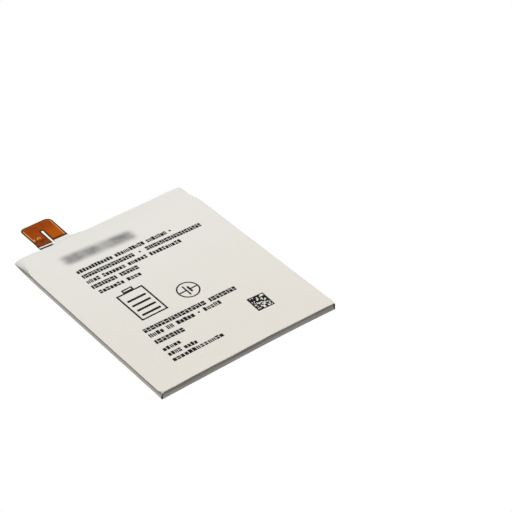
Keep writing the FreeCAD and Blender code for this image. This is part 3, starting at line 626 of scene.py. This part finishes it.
def label_tongue():
    """Film tongue from the pack's end down on to the root of the flex."""
    columns = spread((TONGUE_LOW[0], 0.3), (SLOT_RIGHT - 0.5, 0.12), (SLOT_RIGHT + 0.3, 0.25),
                     (FLEX_RIGHT + 0.1, 0.3), (TONGUE_HIGH[0], 1))
    reach_at = [TONGUE_LOW[0], SLOT_RIGHT - 0.9, SLOT_RIGHT - 0.15, SLOT_RIGHT + 0.25, FLEX_RIGHT - 0.3,
                FLEX_RIGHT + 0.3, FLEX_RIGHT + 1.2, FLEX_RIGHT + 2.6, TONGUE_HIGH[0]]
    reach = [0.55, 0.75, 1.3, 2.5, 2.4, 2.1, 0.95, 0.6, 0.35]
    lap, settling, start_gap, end_gap = 0.25, 1.5, 0.02, 0.03
    top = FLEX_HIGH + FILM + end_gap
    length = np.interp(columns, reach_at, reach)
    start = front_level(columns, np.full_like(columns, TAIL_Y - lap)) + start_gap
    rows = []
    for share in np.linspace(0, 1, 13):
        y = TAIL_Y - lap + (length + lap) * share
        drop = smooth(np.clip((y - TAIL_Y + lap) / settling, 0, 1))
        rows.append(np.stack([columns, y, start + (top - start) * drop], axis=-1))
    return film_sheet("label_tongue", rows, inwards=-FILM)


# ---- the print

INK = 0.016
INK_SINK = 0.01


def prism(bm, outline, surface):
    """Closed prism over a plan outline; a surface is a level and the prism's lowest and highest offset."""
    level, low, high = surface
    skin(bm, [[(x, y, level(x, y) + offset) for x, y in outline] for offset in (low, high)])


def window_level(x, y):
    """Height of the bare laminate in the window."""
    return back_level(x, y) + RECESS


ON_FRONT = (front_level, -INK_SINK, INK)
ON_WINDOW = (window_level, -INK, INK_SINK)


def swing(centre, u, v, turn):
    """Point at (u, v) from a centre, turned about it."""
    c, s = math.cos(turn), math.sin(turn)
    return (centre[0] + u * c - v * s, centre[1] + u * s + v * c)


def block(centre, size, radius, turn=0.0):
    """Outline of a small rounded block."""
    half_u, half_v = size[0] / 2, size[1] / 2
    radius = min(radius, half_u * 0.9, half_v * 0.9)
    corners = rounded_outline([(-half_u, -half_v, radius), (half_u, -half_v, radius),
                               (half_u, half_v, radius), (-half_u, half_v, radius)], 2)
    return [swing(centre, u, v, turn) for u, v in corners]


# Each printed line: start, end, height, whether its marks are wide, and its words' lengths in marks
PRINTED_LINES = [
    ((-23.2, 24.2), (17.2, 23.4), 2.0, False, (12, 10, 7, 1)),
    ((-23.0, 20.9), (27.5, 19.5), 2.1, True, (9, 1, 10)),
    ((-23.4, 17.6), (16.3, 16.4), 2.0, False, (4, 7, 6, 10)),
    ((-23.6, 14.2), (-4.3, 13.7), 2.1, True, (4, 3)),
    ((-23.0, 10.6), (-5.7, 10.1), 1.9, False, (7, 4)),
    ((-23.25, -15.7), (15.1, -16.7), 2.1, True, (9, 4)),
    ((-23.2, -18.8), (6.6, -19.4), 2.0, False, (4, 2, 5, 1, 5)),
    ((-23.5, -22.6), (-11.8, -23.0), 2.1, True, (4,)),
    ((-23.7, -27.2), (-16.5, -27.2), 1.8, False, (5,)),
    ((-23.7, -30.1), (-12.1, -30.7), 1.8, False, (4, 4)),
    ((-24.1, -33.2), (-3.2, -33.3), 1.8, False, (13,)),
]

# Ways to split a mark into plain blocks: (left, right, bottom, top) as shares of its width and height
NARROW_MARKS = [[(0, 1, 0, 1)], [(0, 1, 0, 1)],
                [(0, 1, 0, 0.45), (0, 1, 0.58, 1)],
                [(0, 0.42, 0, 1), (0.60, 1, 0, 1)]]
WIDE_MARKS = [[(0, 0.32, 0, 1), (0.41, 1, 0, 0.45), (0.41, 1, 0.54, 1)],
              [(0, 0.60, 0, 0.45), (0, 0.60, 0.54, 1), (0.69, 1, 0, 1)],
              [(0, 1, 0.70, 1), (0, 0.46, 0, 0.61), (0.55, 1, 0, 0.61)],
              [(0, 0.46, 0, 0.64), (0, 0.46, 0.73, 1), (0.55, 1, 0, 0.32), (0.55, 1, 0.41, 1)]]


def mark(bm, centre, size, turn, wide, chance):
    """One mark of a printed line: plain blocks with thin gaps between them."""
    width, height = size
    blocks = chance.choice(WIDE_MARKS if wide else NARROW_MARKS)
    tall = 1.0 if wide else chance.choice((0.85, 0.85, 1.0))
    for left, right, bottom, top in blocks:
        u = ((left + right) / 2 - 0.5) * width
        v = ((bottom + top) / 2 * tall - 0.5) * height
        size_here = ((right - left) * width, (top - bottom) * tall * height)
        prism(bm, block(swing(centre, u, v, turn), size_here, 0.05, turn), ON_FRONT)


def printed_lines():
    """Rows of plain marks in place of the printed text."""
    chance = random.Random(7)
    bm = bmesh.new()
    dot = 0.9
    for start, end, height, wide, words in PRINTED_LINES:
        turn = math.atan2(end[1] - start[1], end[0] - start[0])
        length = math.dist(start, end)
        space = 0.55 if wide else 0.8
        pitch = length / (sum(words) + space * (len(words) - 1))
        along = 0.0
        for word in words:
            for _ in range(word):
                centre = swing(start, along + pitch / 2, 0.0, turn)
                fill = 0.93 if wide else chance.uniform(0.74, 0.88)
                if word == 1:
                    prism(bm, block(centre, (dot, dot), dot / 2, turn), ON_FRONT)
                else:
                    mark(bm, centre, (pitch * fill, height), turn, wide, chance)
                along += pitch
            along += space * pitch
    return finish_mesh("printed_lines", bm)


def matrix_code():
    """Random chequered square in place of a matrix code."""
    chance = random.Random(19)
    bm = bmesh.new()
    columns, rows = 15, 16
    origin = (13.5, -31.55)
    cell = (6.8 / columns, 7.4 / rows)
    turn = math.radians(-3)
    density, row_fill = 0.62, 0.98
    for row in range(rows):
        border = row in (0, rows - 1)
        filled = [chance.random() < density or border or column in (0, columns - 1)
                  for column in range(columns)]
        for inked, run in itertools.groupby(range(columns), filled.__getitem__):
            run = list(run)
            if inked:
                middle = run[0] + len(run) / 2
                centre = swing(origin, middle * cell[0], (row + 0.5) * cell[1], turn)
                prism(bm, block(centre, (len(run) * cell[0], cell[1] * row_fill), 0.01, turn), ON_FRONT)
    return finish_mesh("matrix_code", bm)


def band(bm, sections, surface, closed):
    """Raised band through plan sections of an inner and an outer point."""
    level, low, high = surface
    rings = [((inner, low), (outer, low), (outer, high), (inner, high)) for inner, outer in sections]
    skin(bm, [[(x, y, level(x, y) + offset) for (x, y), offset in ring] for ring in rings], closed)


def ring(bm, surface, centre, radius, width, steps, span=(0.0, 360.0)):
    """Raised ring, or part of one."""
    start, end = np.radians(span)
    closed = span[1] - span[0] >= 360
    angles = np.linspace(start, end, steps + 1)[:steps if closed else None]
    band(bm, [[swing(centre, radius + side * width / 2, 0.0, angle) for side in (-1, 1)]
              for angle in angles], surface, closed)


def outline_frame(bm, left, right, bottom, top, width):
    """Printed outline of a rectangle."""
    half = width / 2
    band(bm, [[(x - sx * half, y - sy * half), (x + sx * half, y + sy * half)]
              for x, y, sx, sy in ((left, bottom, -1, -1), (right, bottom, 1, -1),
                                   (right, top, 1, 1), (left, top, -1, 1))], ON_FRONT, True)


def battery_symbol():
    """Generic upright battery outline with level bars."""
    bm = bmesh.new()
    left, right, bottom, top = -19.9, -9.6, -10.6, 4.4
    middle = (left + right) / 2
    cap_half, cap_bottom, cap_top = 1.9, top + 0.65, top + 1.8
    first_bar, bar_pitch, bar_height, bar_margin = bottom + 2.0, 2.9, 1.0, 1.3
    outline_frame(bm, left, right, bottom, top, 0.65)
    outline_frame(bm, middle - cap_half, middle + cap_half, cap_bottom, cap_top, 0.6)
    for index in range(4):
        size = (right - left - 2 * bar_margin, bar_height)
        prism(bm, block((middle, first_bar + index * bar_pitch), size, 0.2), ON_FRONT)
    return finish_mesh("battery_symbol", bm)


def cell_symbol():
    """Generic circuit symbol of a cell in a ring: a long and a short plate with two leads."""
    bm = bmesh.new()
    middle = (1.7, -7.4)
    ring(bm, ON_FRONT, middle, 4.0, 0.55, 48)
    for along, size in ((-2.37, (2.66, 0.6)), (-0.7, (0.6, 5.4)), (0.7, (0.85, 3.2)), (2.42, (2.54, 0.6))):
        prism(bm, block((middle[0] + along, middle[1]), size, 0.1), ON_FRONT)
    return finish_mesh("cell_symbol", bm)


def ring_stamp():
    """Blue ink ring stamped on the bare laminate."""
    bm = bmesh.new()
    centre = (-17.3, 25.9)
    ring(bm, ON_WINDOW, centre, 3.55, 0.34, 48)
    for span in ((20, 160), (200, 340)):
        ring(bm, ON_WINDOW, centre, 1.5, 0.4, 12, span)
    return finish_mesh("ring_stamp", bm)


def dot_stamp():
    """Blue rosette of ink dots on the bare laminate."""
    bm = bmesh.new()
    centre = (-21.2, -27.5)
    dot = (0.42, 0.42)
    for radius, count in ((0.6, 5), (1.4, 10), (2.2, 15)):
        for index in range(count):
            angle = 2 * math.pi * index / count + radius
            prism(bm, block(swing(centre, radius, 0.0, angle), dot, 0.2, angle), ON_WINDOW)
    return finish_mesh("dot_stamp", bm)


# ---- materials; tones are linear red, green and blue, and grain is in metres

class Nodes:
    """Small helper around one material's node tree."""

    def __init__(self, name):
        self.material = bpy.data.materials.new(name)
        self.material.use_nodes = True
        self.tree = self.material.node_tree
        self.shader = self.tree.nodes["Principled BSDF"]
        self.coordinates = self.tree.nodes.new("ShaderNodeTexCoord").outputs["Object"]

    def link(self, source, target):
        self.tree.links.new(source, target)

    def node(self, kind, **inputs):
        """New node; each input takes a socket or a plain value, with _ for a space in its name."""
        node = self.tree.nodes.new("ShaderNode" + kind)
        for name, item in inputs.items():
            self.feed(node.inputs[name.replace("_", " ")], item)
        return node

    def feed(self, socket, item):
        """Links a socket to an input, or sets the input's value."""
        if isinstance(item, bpy.types.NodeSocket):
            self.link(item, socket)
        else:
            socket.default_value = item

    def axes(self):
        """The X, Y and Z coordinates of each point, in metres."""
        return self.node("SeparateXYZ", Vector=self.coordinates).outputs

    def noise(self, scale, detail, stretch=(1, 1, 1)):
        """Noise over the object, with features of about 1/scale metres."""
        vector = self.node("Mapping", Scale=stretch, Vector=self.coordinates).outputs["Vector"]
        texture = self.node("TexNoise", Scale=scale, Detail=detail, Roughness=0.55, Vector=vector)
        return texture.outputs["Fac"]

    def ramp(self, value, stops):
        """Colour ramp from (position, colour) stops."""
        node = self.node("ValToRGB", Fac=value)
        elements = node.color_ramp.elements
        while len(elements) < len(stops):
            elements.new(0.5)
        for element, (position, colour) in zip(elements, stops):
            element.position = position
            element.color = (*colour, 1)
        return node.outputs["Color"]

    def range(self, value, low, high, out_low, out_high):
        """Value mapped smoothly from one range to another."""
        node = self.node("MapRange", Value=value, From_Min=low, From_Max=high,
                         To_Min=out_low, To_Max=out_high)
        node.interpolation_type = "SMOOTHSTEP"
        return node.outputs["Result"]

    def rise(self, value, start, end):
        """Smooth step from 0 to 1 between two places in millimetres."""
        return self.range(value, start * MM, end * MM, 0.0, 1.0)

    def fall(self, value, start, end):
        """Smooth step from 1 to 0 between two places in millimetres."""
        return self.range(value, start * MM, end * MM, 1.0, 0.0)

    def math(self, operation, *items):
        """Math node on sockets or numbers."""
        node = self.node("Math")
        node.operation = operation
        for socket, item in zip(node.inputs, items):
            self.feed(socket, item)
        return node.outputs["Value"]

    def plus(self, first, second):
        return self.math("ADD", first, second)

    def times(self, first, second):
        return self.math("MULTIPLY", first, second)

    def mix(self, factor, first, second):
        """Colour mix of sockets or colours."""
        node = self.node("Mix")
        node.data_type = "RGBA"
        self.link(factor, node.inputs["Factor"])
        colours = [s for s in node.inputs if s.type == "RGBA"]
        for socket, item in zip(colours, (first, second)):
            self.feed(socket, (*item, 1) if isinstance(item, tuple) else item)
        return [s for s in node.outputs if s.type == "RGBA"][0]

    def mix_shaders(self, factor, first, second):
        """Mix of two shaders."""
        node = self.node("MixShader")
        for socket, item in zip(node.inputs, (factor, first, second)):
            self.link(item, socket)
        return node.outputs["Shader"]

    def tone(self, colour):
        """Base colour from a socket."""
        self.link(colour, self.shader.inputs["Base Color"])

    def gloss(self, scale, detail, smoothest, roughest):
        """Roughness that varies with noise of a scale."""
        uneven = self.range(self.noise(scale, detail), 0.3, 0.7, smoothest, roughest)
        self.link(uneven, self.shader.inputs["Roughness"])

    def bump(self, height, distance):
        """Bump of a real height in metres."""
        node = self.node("Bump", Distance=distance, Height=height)
        self.link(node.outputs["Normal"], self.shader.inputs["Normal"])

    def set(self, **values):
        """Uniform values on the shader's own sockets."""
        for name, value in values.items():
            self.shader.inputs[name.replace("_", " ")].default_value = value


def plain_surface(name, dark, light, roughness, metallic=0.0, scale=600, grain=0.00001, specular=0.5):
    """Material with a slow colour drift, uneven gloss and fine grain."""
    made = Nodes(name)
    made.tone(made.ramp(made.noise(scale, 4), [(0.3, dark), (0.7, light)]))
    made.gloss(scale * 2.3, 3.0, roughness - 0.07, roughness + 0.07)
    made.bump(made.noise(scale * 9, 2), grain)
    made.set(Metallic=metallic, Specular_IOR_Level=specular)
    return made.material


def printed_bar(made, x, y, z):
    """Strength of a soft grey bar printed on the front."""
    middle_x, middle_y, tilt = -9.0, 30.5, 0.075
    from_x = made.math("ABSOLUTE", made.plus(x, -middle_x * MM))
    from_y = made.math("ABSOLUTE", made.math("SUBTRACT", made.plus(y, made.times(x, tilt)), middle_y * MM))
    inside = made.times(made.fall(from_x, 11.8, 16.0), made.fall(from_y, 0.9, 4.2))
    clouds = made.range(made.noise(150, 2), 0.25, 0.7, 0.6, 1.0)
    return made.times(made.times(inside, clouds), made.times(made.rise(z, 2.4, 2.6), 0.92))


def painted_groove_shade(made, x, y, z):
    """Strength of the shade under the front edge of the long walls, lower near the tail end."""
    on_wall = made.rise(made.math("ABSOLUTE", x), HALF - 0.62, HALF - 0.54)
    lowered = 1.1
    near_end = made.range(y, (TAIL_Y - TAIL_RADIUS_REACH) * MM, TAIL_Y * MM, 0.0, lowered * MM)
    level = made.plus(z, near_end)
    in_groove = made.times(made.rise(level, 1.70, 2.10), made.fall(level, 3.00, 3.08))
    return made.times(made.times(on_wall, in_groove), made.range(made.noise(260, 2), 0.3, 0.7, 0.78, 1.0))


def film_material():
    """Satin off-white film, a little warmer towards the fold end, with a soft grey printed bar and painted
    shade under the front edge of the long walls.
    """
    made = Nodes("wrap_film")
    x, y, z = made.axes()
    drift = made.plus(made.times(made.noise(45, 3), 0.35), made.times(made.rise(y, -40.0, 44.0), 0.65))
    white = made.ramp(drift, [(0.15, (0.775, 0.742, 0.668)), (0.85, (0.803, 0.785, 0.735))])
    printed = made.mix(printed_bar(made, x, y, z), white, (0.16, 0.16, 0.16))
    # the grey-brown tone mixed in on the long walls is painted shade under their front edge
    made.tone(made.mix(painted_groove_shade(made, x, y, z), printed, (0.30, 0.29, 0.27)))
    made.gloss(220, 3, 0.40, 0.52)
    made.bump(made.plus(made.times(made.noise(9000, 2), 0.08), made.noise(260, 2)), 0.00002)
    made.set(IOR=1.5, Specular_IOR_Level=0.45)
    return made.material


def laminate_material():
    """Matt grey laminate foil: rolling lines, faint patches, shallow creases and a streaked fold end with
    painted shade and light, darkest at its top under the film's edge and lighter towards the bottom.
    """
    made = Nodes("laminate")
    _, y, z = made.axes()
    rolled = made.noise(2600, 2, stretch=(1, 0.04, 1))
    patches = made.plus(made.times(made.noise(60, 4), 0.75), made.times(rolled, 0.25))
    face = made.ramp(patches, [(0.3, (0.350, 0.342, 0.325)), (0.7, (0.415, 0.405, 0.385))])
    streaks = made.times(made.noise(2300, 3, stretch=(0.025, 0.6, 1)), 0.8)
    # fold end: painted shade and light, dark at the top and light at the bottom, plus streaks
    level = made.plus(made.times(made.fall(z, 0.2, 3.0), 0.6), streaks)
    painted_shade_end_tone = made.ramp(level, [(0.28, (0.170, 0.150, 0.130)), (0.62, (0.330, 0.305, 0.275)),
                                 (1.0, (0.600, 0.575, 0.540))])
    made.tone(made.mix(made.fall(y, -42.8, -42.0), face, painted_shade_end_tone))
    made.gloss(400, 3, 0.34, 0.46)
    creases = made.node("TexVoronoi", Scale=70, Vector=made.coordinates)
    creases.feature = "DISTANCE_TO_EDGE"
    fold = made.range(creases.outputs["Distance"], 0.0, 0.09, 0.0, 1.0)
    made.bump(made.plus(made.times(fold, 0.5), made.times(rolled, 0.6)), 0.000012)
    made.set(Metallic=0.55)
    return made.material


def flex_material(name, dark, light, root=None, underside=None, far_edge=None):
    """Amber polyimide over copper; its root leg, underside and far edge can have tones of their own."""
    made = Nodes(name)
    x, y, z = made.axes()
    patches = made.plus(made.times(made.noise(320, 3), 0.7), made.times(made.noise(2400, 2), 0.3))
    tone = made.ramp(patches, [(0.32, dark), (0.68, light)])
    if root is not None:
        on_root = made.times(made.rise(x, -19.5, -16.5), made.fall(y, 49.0, 56.0))
        tone = made.mix(on_root, tone, root)
    if far_edge is not None:
        # the rim's light tone, partly painted highlight, is dimmed towards the far edge
        tone = made.mix(made.rise(y, FLEX_TOP - 2.2, FLEX_TOP - 1.0), tone, far_edge)
    # below its top the edge sheet keeps the amber of the film; its dark top is painted shade
    if underside is not None:
        tone = made.mix(made.fall(z, 1.93, 1.95), tone, underside)
    made.tone(tone)
    made.gloss(700, 3, 0.24, 0.38)
    made.bump(made.noise(1500, 3), 0.000008)
    made.set(Coat_Weight=0.012, Coat_Roughness=0.15, Specular_IOR_Level=0.06)
    return made.material


# Dark and light tone and roughness, then metallic, scale of the drift, depth of the grain and specular level
PLAIN_SURFACES = {
    # seal_edge is near black as painted shade: it stands for the dark gap at the seals' open ends beside the
    # fold end
    "seal_edge": ((0.008, 0.008, 0.008), (0.030, 0.030, 0.029), 0.5, 0.2, 900),
    "cathode_foil": ((0.020, 0.020, 0.022), (0.045, 0.045, 0.048), 0.65),
    "anode_foil": ((0.06, 0.045, 0.04), (0.10, 0.08, 0.07), 0.6, 0.3),
    "separator": ((0.78, 0.78, 0.77), (0.86, 0.86, 0.85), 0.5),
    "tape": ((0.42, 0.24, 0.05), (0.55, 0.34, 0.09), 0.3),
    "dark_tape": ((0.012, 0.012, 0.012), (0.03, 0.03, 0.03), 0.4),
    "foam": ((0.02, 0.02, 0.02), (0.05, 0.05, 0.05), 0.85, 0, 2500, 0.00006),
    "aluminium_tab": ((0.62, 0.62, 0.63), (0.74, 0.74, 0.75), 0.3, 1.0),
    "nickel": ((0.52, 0.50, 0.46), (0.66, 0.64, 0.60), 0.28, 1.0, 1200),
    "seal_resin": ((0.70, 0.66, 0.58), (0.80, 0.77, 0.70), 0.35),
    "board": ((0.012, 0.075, 0.035), (0.025, 0.12, 0.06), 0.35),
    "chip_black": ((0.010, 0.010, 0.011), (0.03, 0.03, 0.03), 0.5, 0, 2000),
    "chip_ceramic": ((0.33, 0.24, 0.16), (0.45, 0.35, 0.24), 0.5, 0, 2000),
    "copper": ((0.55, 0.24, 0.12), (0.72, 0.36, 0.20), 0.3, 1.0),
    "gold": ((0.72, 0.46, 0.14), (0.90, 0.62, 0.24), 0.25, 1.0, 1500),
    "connector_black": ((0.006, 0.006, 0.006), (0.016, 0.016, 0.016), 0.45, 0, 1800),
    "pad_gold": ((0.50, 0.27, 0.06), (0.72, 0.47, 0.18), 0.35, 0.3, 1500),
    "connector_pale": ((0.88, 0.87, 0.83), (0.95, 0.94, 0.91), 0.45, 0, 1500),
    "ink_black": ((0.004, 0.004, 0.004), (0.012, 0.012, 0.012), 0.7, 0, 3000, 0.000004, 0.15),
    "ink_blue": ((0.035, 0.045, 0.26), (0.09, 0.11, 0.38), 0.6, 0, 1600, 0.000004),
}

# Dark and light tone of the flex's layers, then the tones of a root leg, an underside and a far edge
FLEX_LAYERS = {
    "polyimide": ((0.250, 0.040, 0.000), (0.390, 0.064, 0.000), (0.450, 0.088, 0.000)),
    # polyimide_edge: the dark top is painted shade along the flex's edges and across the root's end; the
    # underside tone is the film's own amber
    "polyimide_edge": ((0.045, 0.008, 0.001), (0.110, 0.020, 0.001), None, (0.330, 0.062, 0.002)),
    # polyimide_light: the rim's light tone is partly the lighter film where no copper lies under it and
    # partly painted highlight, dimmed to a darker far-edge tone
    "polyimide_light": ((0.560, 0.230, 0.050), (0.860, 0.500, 0.200), None, None, (0.330, 0.072, 0.002)),
    "polyimide_dark": ((0.080, 0.016, 0.002), (0.330, 0.066, 0.004)),
}

MATERIALS = {"wrap_film": film_material(), "laminate": laminate_material()}
MATERIALS.update({name: plain_surface(name, *values) for name, values in PLAIN_SURFACES.items()})
MATERIALS.update({name: flex_material(name, *values) for name, values in FLEX_LAYERS.items()})


def dress(piece, material):
    """Gives a piece its only material, the one named by a slot."""
    piece.data.materials.clear()
    piece.data.materials.append(MATERIALS[material])
    return piece


# ---- building the pieces

def add_pack_pieces():
    """Pieces that stay with the pack."""
    covers = (
        (printed_film(), "wrap_film", ["front_label"]),
        (back_frame(), "wrap_film", ["back_strip_left", "back_strip_right", "back_strip_bottom"]),
        (flap("flap_narrow", FLAP_NARROW_LOW[0], FLAP_NARROW_HIGH[0]), "wrap_film", ["end_flap_narrow"]),
        (flap("flap_wide", FLAP_WIDE_LOW[0], FLAP_WIDE_HIGH[0] - SEAM), "wrap_film", ["end_flap_wide"]),
        (label_tongue(), "wrap_film", ["root_tape"]),
        (pouch_body(), "laminate", ["pouch_cup", "pouch_lid"]),
        # the folded seals wear near-black painted shade for the gap at their open ends
        (folded_seal("seal_fold_left", -1), "seal_edge", ["side_seal_left"]),
        (folded_seal("seal_fold_right", 1), "seal_edge", ["side_seal_right"]),
    )
    for piece, slot, nodes in covers:
        dress(piece, slot)
        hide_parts(*nodes)
        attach(piece, "pack")
    for make in (printed_lines, matrix_code, battery_symbol, cell_symbol):
        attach(dress(make(), "ink_black"), "pack")
    for make in (ring_stamp, dot_stamp):
        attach(dress(make(), "ink_blue"), "pack")


def flat(height):
    """Level of a flat surface."""
    return lambda x, y: height


def tip_patch():
    """Dark stiffener on the free leg's tip."""
    bm = bmesh.new()
    corners = [(FLEX_LEFT + 0.35, LEG_TIP + 0.16, 0.15), (SLOT_LEFT - 0.22, LEG_CORNER + 0.20, 0.15),
               (SLOT_LEFT - 0.2, LEG_TIP + 3.2, 0.2), (FLEX_LEFT + 0.32, LEG_TIP + 3.4, 0.2)]
    prism(bm, rounded_outline(corners, 5), (flat(FLEX_HIGH), -0.02, 0.08))
    return finish_mesh("tip_patch", bm, 30)


def leg_pads():
    """Two gold pads beside the stiffener: a plain one and a ring with an opening."""
    bm = bmesh.new()
    pad_y = TAIL_Y + 6.65
    surface = (flat(FLEX_HIGH), -0.01, 0.03)
    prism(bm, block((FLEX_LEFT + 1.05, pad_y), (0.80, 1.10), 0.2), surface)
    ring(bm, surface, (FLEX_LEFT + 3.0, pad_y), 0.55, 0.44, 14, (-50, 230))
    return finish_mesh("leg_pads", bm, 30)


def slanted(outline):
    """Plan outline under the free leg, turned to follow the leg's tip."""
    slant = (LEG_CORNER - LEG_TIP) / (SLOT_LEFT - FLEX_LEFT)
    return [(x, y + slant * (x - CONNECTOR_MIDDLE)) for x, y in outline]


def connector_body():
    """Pale body of the board connector under the free leg, with a ledge over its dark front."""
    bm = bmesh.new()
    ledge = 0.16
    for front, low, high in ((CONNECTOR_FRONT, CONNECTOR_RIM[1], FLEX_LOW - 0.01),
                             (CONNECTOR_FRONT + ledge, CONNECTOR_RIM[0], CONNECTOR_RIM[1] + 0.01)):
        centre = (CONNECTOR_MIDDLE, (front + CONNECTOR_BACK) / 2)
        outline = block(centre, (CONNECTOR_WIDTH, CONNECTOR_BACK - front), 0.15)
        prism(bm, slanted(outline), (flat(0.0), low, high))
    return finish_mesh("connector_body", bm, 30)


def connector_rim():
    """Dark parts of the connector: its front and, below, a frame round a tongue."""
    bm = bmesh.new()
    front, rear, middle_x, width = CONNECTOR_FRONT, CONNECTOR_BACK, CONNECTOR_MIDDLE, CONNECTOR_WIDTH
    middle_y = (front + rear) / 2
    wall, front_wall = 0.34, 0.18
    beside = (wall, rear - front - 0.4)
    frame_top = CONNECTOR_RIM[0] + 0.02
    parts = [((middle_x, front + front_wall / 2), (width, front_wall), CONNECTOR_RIM[1] - 0.01),
             ((middle_x, front + wall / 2), (width, wall), frame_top),
             ((middle_x, rear - wall / 2), (width, wall), frame_top),
             ((CONNECTOR_LEFT + wall / 2, middle_y), beside, frame_top),
             ((CONNECTOR_RIGHT - wall / 2, middle_y), beside, frame_top),
             ((middle_x, middle_y), (width - 1.5, 0.42), frame_top)]
    for centre, size, top in parts:
        prism(bm, slanted(block(centre, size, 0.07)), (flat(0.0), CONNECTOR_BOTTOM, top))
    return finish_mesh("connector_rim", bm, 30)


def add_tail_pieces():
    """The flexible tail: a dark edge of painted shade, a light line inside it that is partly lighter film
    and partly painted highlight, and the brown field, in layers.
    """
    replaced = {False: ["flex_base_root", "flex_copper_root", "flex_cover_root", "flex_root_bend",
                        "flex_base_bridge", "flex_copper_bridge", "flex_cover_bridge"],
                True: ["flex_leg_bend", "flex_base_leg", "flex_copper_leg", "flex_cover_leg"]}
    cover_start = (TAIL_Y + 3.75, TAIL_Y + 3.45)
    # the sheet's dark top, bared round the edges and before the cover starts at the root, is painted edge
    # shade
    layers = (("sheet", flex_corners(0.0, 0.0, (ROOT_START, ROOT_START)), "polyimide_edge"),
              # the rim's light line is partly lighter film and partly painted highlight
              ("rim", flex_corners(0.52, 0.9, cover_start), "polyimide_light"),
              ("field", flex_corners(0.88, 0.55, cover_start), "polyimide"))
    layer_step, layer_depth = 0.012, 0.03
    for leg, stem in ((False, "tail"), (True, "leg")):
        for index, (layer, corners, material) in enumerate(layers):
            top = FLEX_HIGH - layer_step * (2 - index)
            low = FLEX_LOW if index == 0 else top - layer_depth
            piece = dress(flex_sheet(stem + "_" + layer, leg, corners, low, top), material)
            if index == 0:
                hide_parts(*replaced[leg])
            bend(piece, leg)
    for make, material, node in ((tip_patch, "polyimide_dark", "tip_stiffener"),
                                 (leg_pads, "pad_gold", "test_pads"),
                                 (connector_body, "connector_pale", "connector_clips"),
                                 (connector_rim, "connector_black", "connector_housing")):
        piece = dress(make(), material)
        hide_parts(node)
        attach(piece, "connector_leg")


def dress_cad_nodes():
    """Each carried-over CAD node takes the material of its slot."""
    slots = {part["node"]: part["material_slot"] for part in frame["record"]["subparts"]}
    for name, node in frame["nodes"].items():
        dress(node, slots[name])


# ---- stage, light and camera

def aim(thing, direction):
    """Turns a light or the camera to look along a direction."""
    thing.rotation_mode = "QUATERNION"
    thing.rotation_quaternion = direction.to_track_quat("-Z", "Y")


def add_floor():
    """Plain pale floor, white to the camera and see-through from below."""
    mesh = bpy.data.meshes.new("floor")
    half, level = 2.0, -0.00002
    corners = [(-half, -half, level), (half, -half, level), (half, half, level), (-half, half, level)]
    mesh.from_pydata(corners, [], [(0, 1, 2, 3)])
    floor = add_object("floor", mesh)
    made = Nodes("floor")
    made.set(Base_Color=(0.60, 0.60, 0.59, 1), Roughness=0.9, Specular_IOR_Level=0.0)
    to_camera = made.node("LightPath").outputs["Is Camera Ray"]
    white = made.node("Emission").outputs["Emission"]
    seen = made.mix_shaders(to_camera, made.shader.outputs["BSDF"], white)
    from_below = made.node("NewGeometry").outputs["Backfacing"]
    clear = made.node("BsdfTransparent").outputs["BSDF"]
    surface = made.mix_shaders(from_below, seen, clear)
    made.link(surface, made.tree.nodes["Material Output"].inputs["Surface"])
    mesh.materials.append(made.material)


def add_light(name, location, size, power):
    """Square softbox that faces the pack's middle."""
    data = bpy.data.lights.new(name, "AREA")
    data.shape = "SQUARE"
    data.size = size
    data.energy = power
    light = add_object(name, data)
    light.location = location
    aim(light, -Vector(location))


def add_world():
    """Pale surroundings for the camera that light the object more softly."""
    world = bpy.data.worlds.new("studio")
    world.use_nodes = True
    tree = world.node_tree
    background = tree.nodes["Background"]
    background.inputs["Color"].default_value = (1, 1, 1, 1)
    ray = tree.nodes.new("ShaderNodeLightPath")
    strength = tree.nodes.new("ShaderNodeMapRange")
    strength.inputs["To Min"].default_value = 0.40
    strength.inputs["To Max"].default_value = 1.0
    tree.links.new(ray.outputs["Is Camera Ray"], strength.inputs["Value"])
    tree.links.new(strength.outputs["Result"], background.inputs["Strength"])
    bpy.context.scene.world = world


def add_camera():
    """Camera above the fold end's left corner, aimed so that the pack stands at the left of the frame."""
    azimuth, elevation = math.radians(-38.805), math.radians(38.456)
    aimed_at = Vector((34.055, -4.402, 0.0))
    distance = 604.65
    back = Vector((math.sin(azimuth) * math.cos(elevation), -math.cos(azimuth) * math.cos(elevation),
                   math.sin(elevation)))
    data = bpy.data.cameras.new("camera")
    data.sensor_width = 36.0
    data.lens = 119.47
    data.clip_start = 0.01
    data.clip_end = 20.0
    camera = add_object("camera", data)
    camera.location = aimed_at * MM + back * distance * MM
    aim(camera, -back)
    bpy.context.scene.camera = camera


add_pack_pieces()
add_tail_pieces()
dress_cad_nodes()
add_floor()
add_light("key", (0.18, 0.12, 0.78), 0.6, 4.3)
add_light("fill", (-0.35, -0.3, 0.6), 0.5, 0.35)
add_world()
add_camera()
bpy.context.scene.view_settings.view_transform = "Standard"
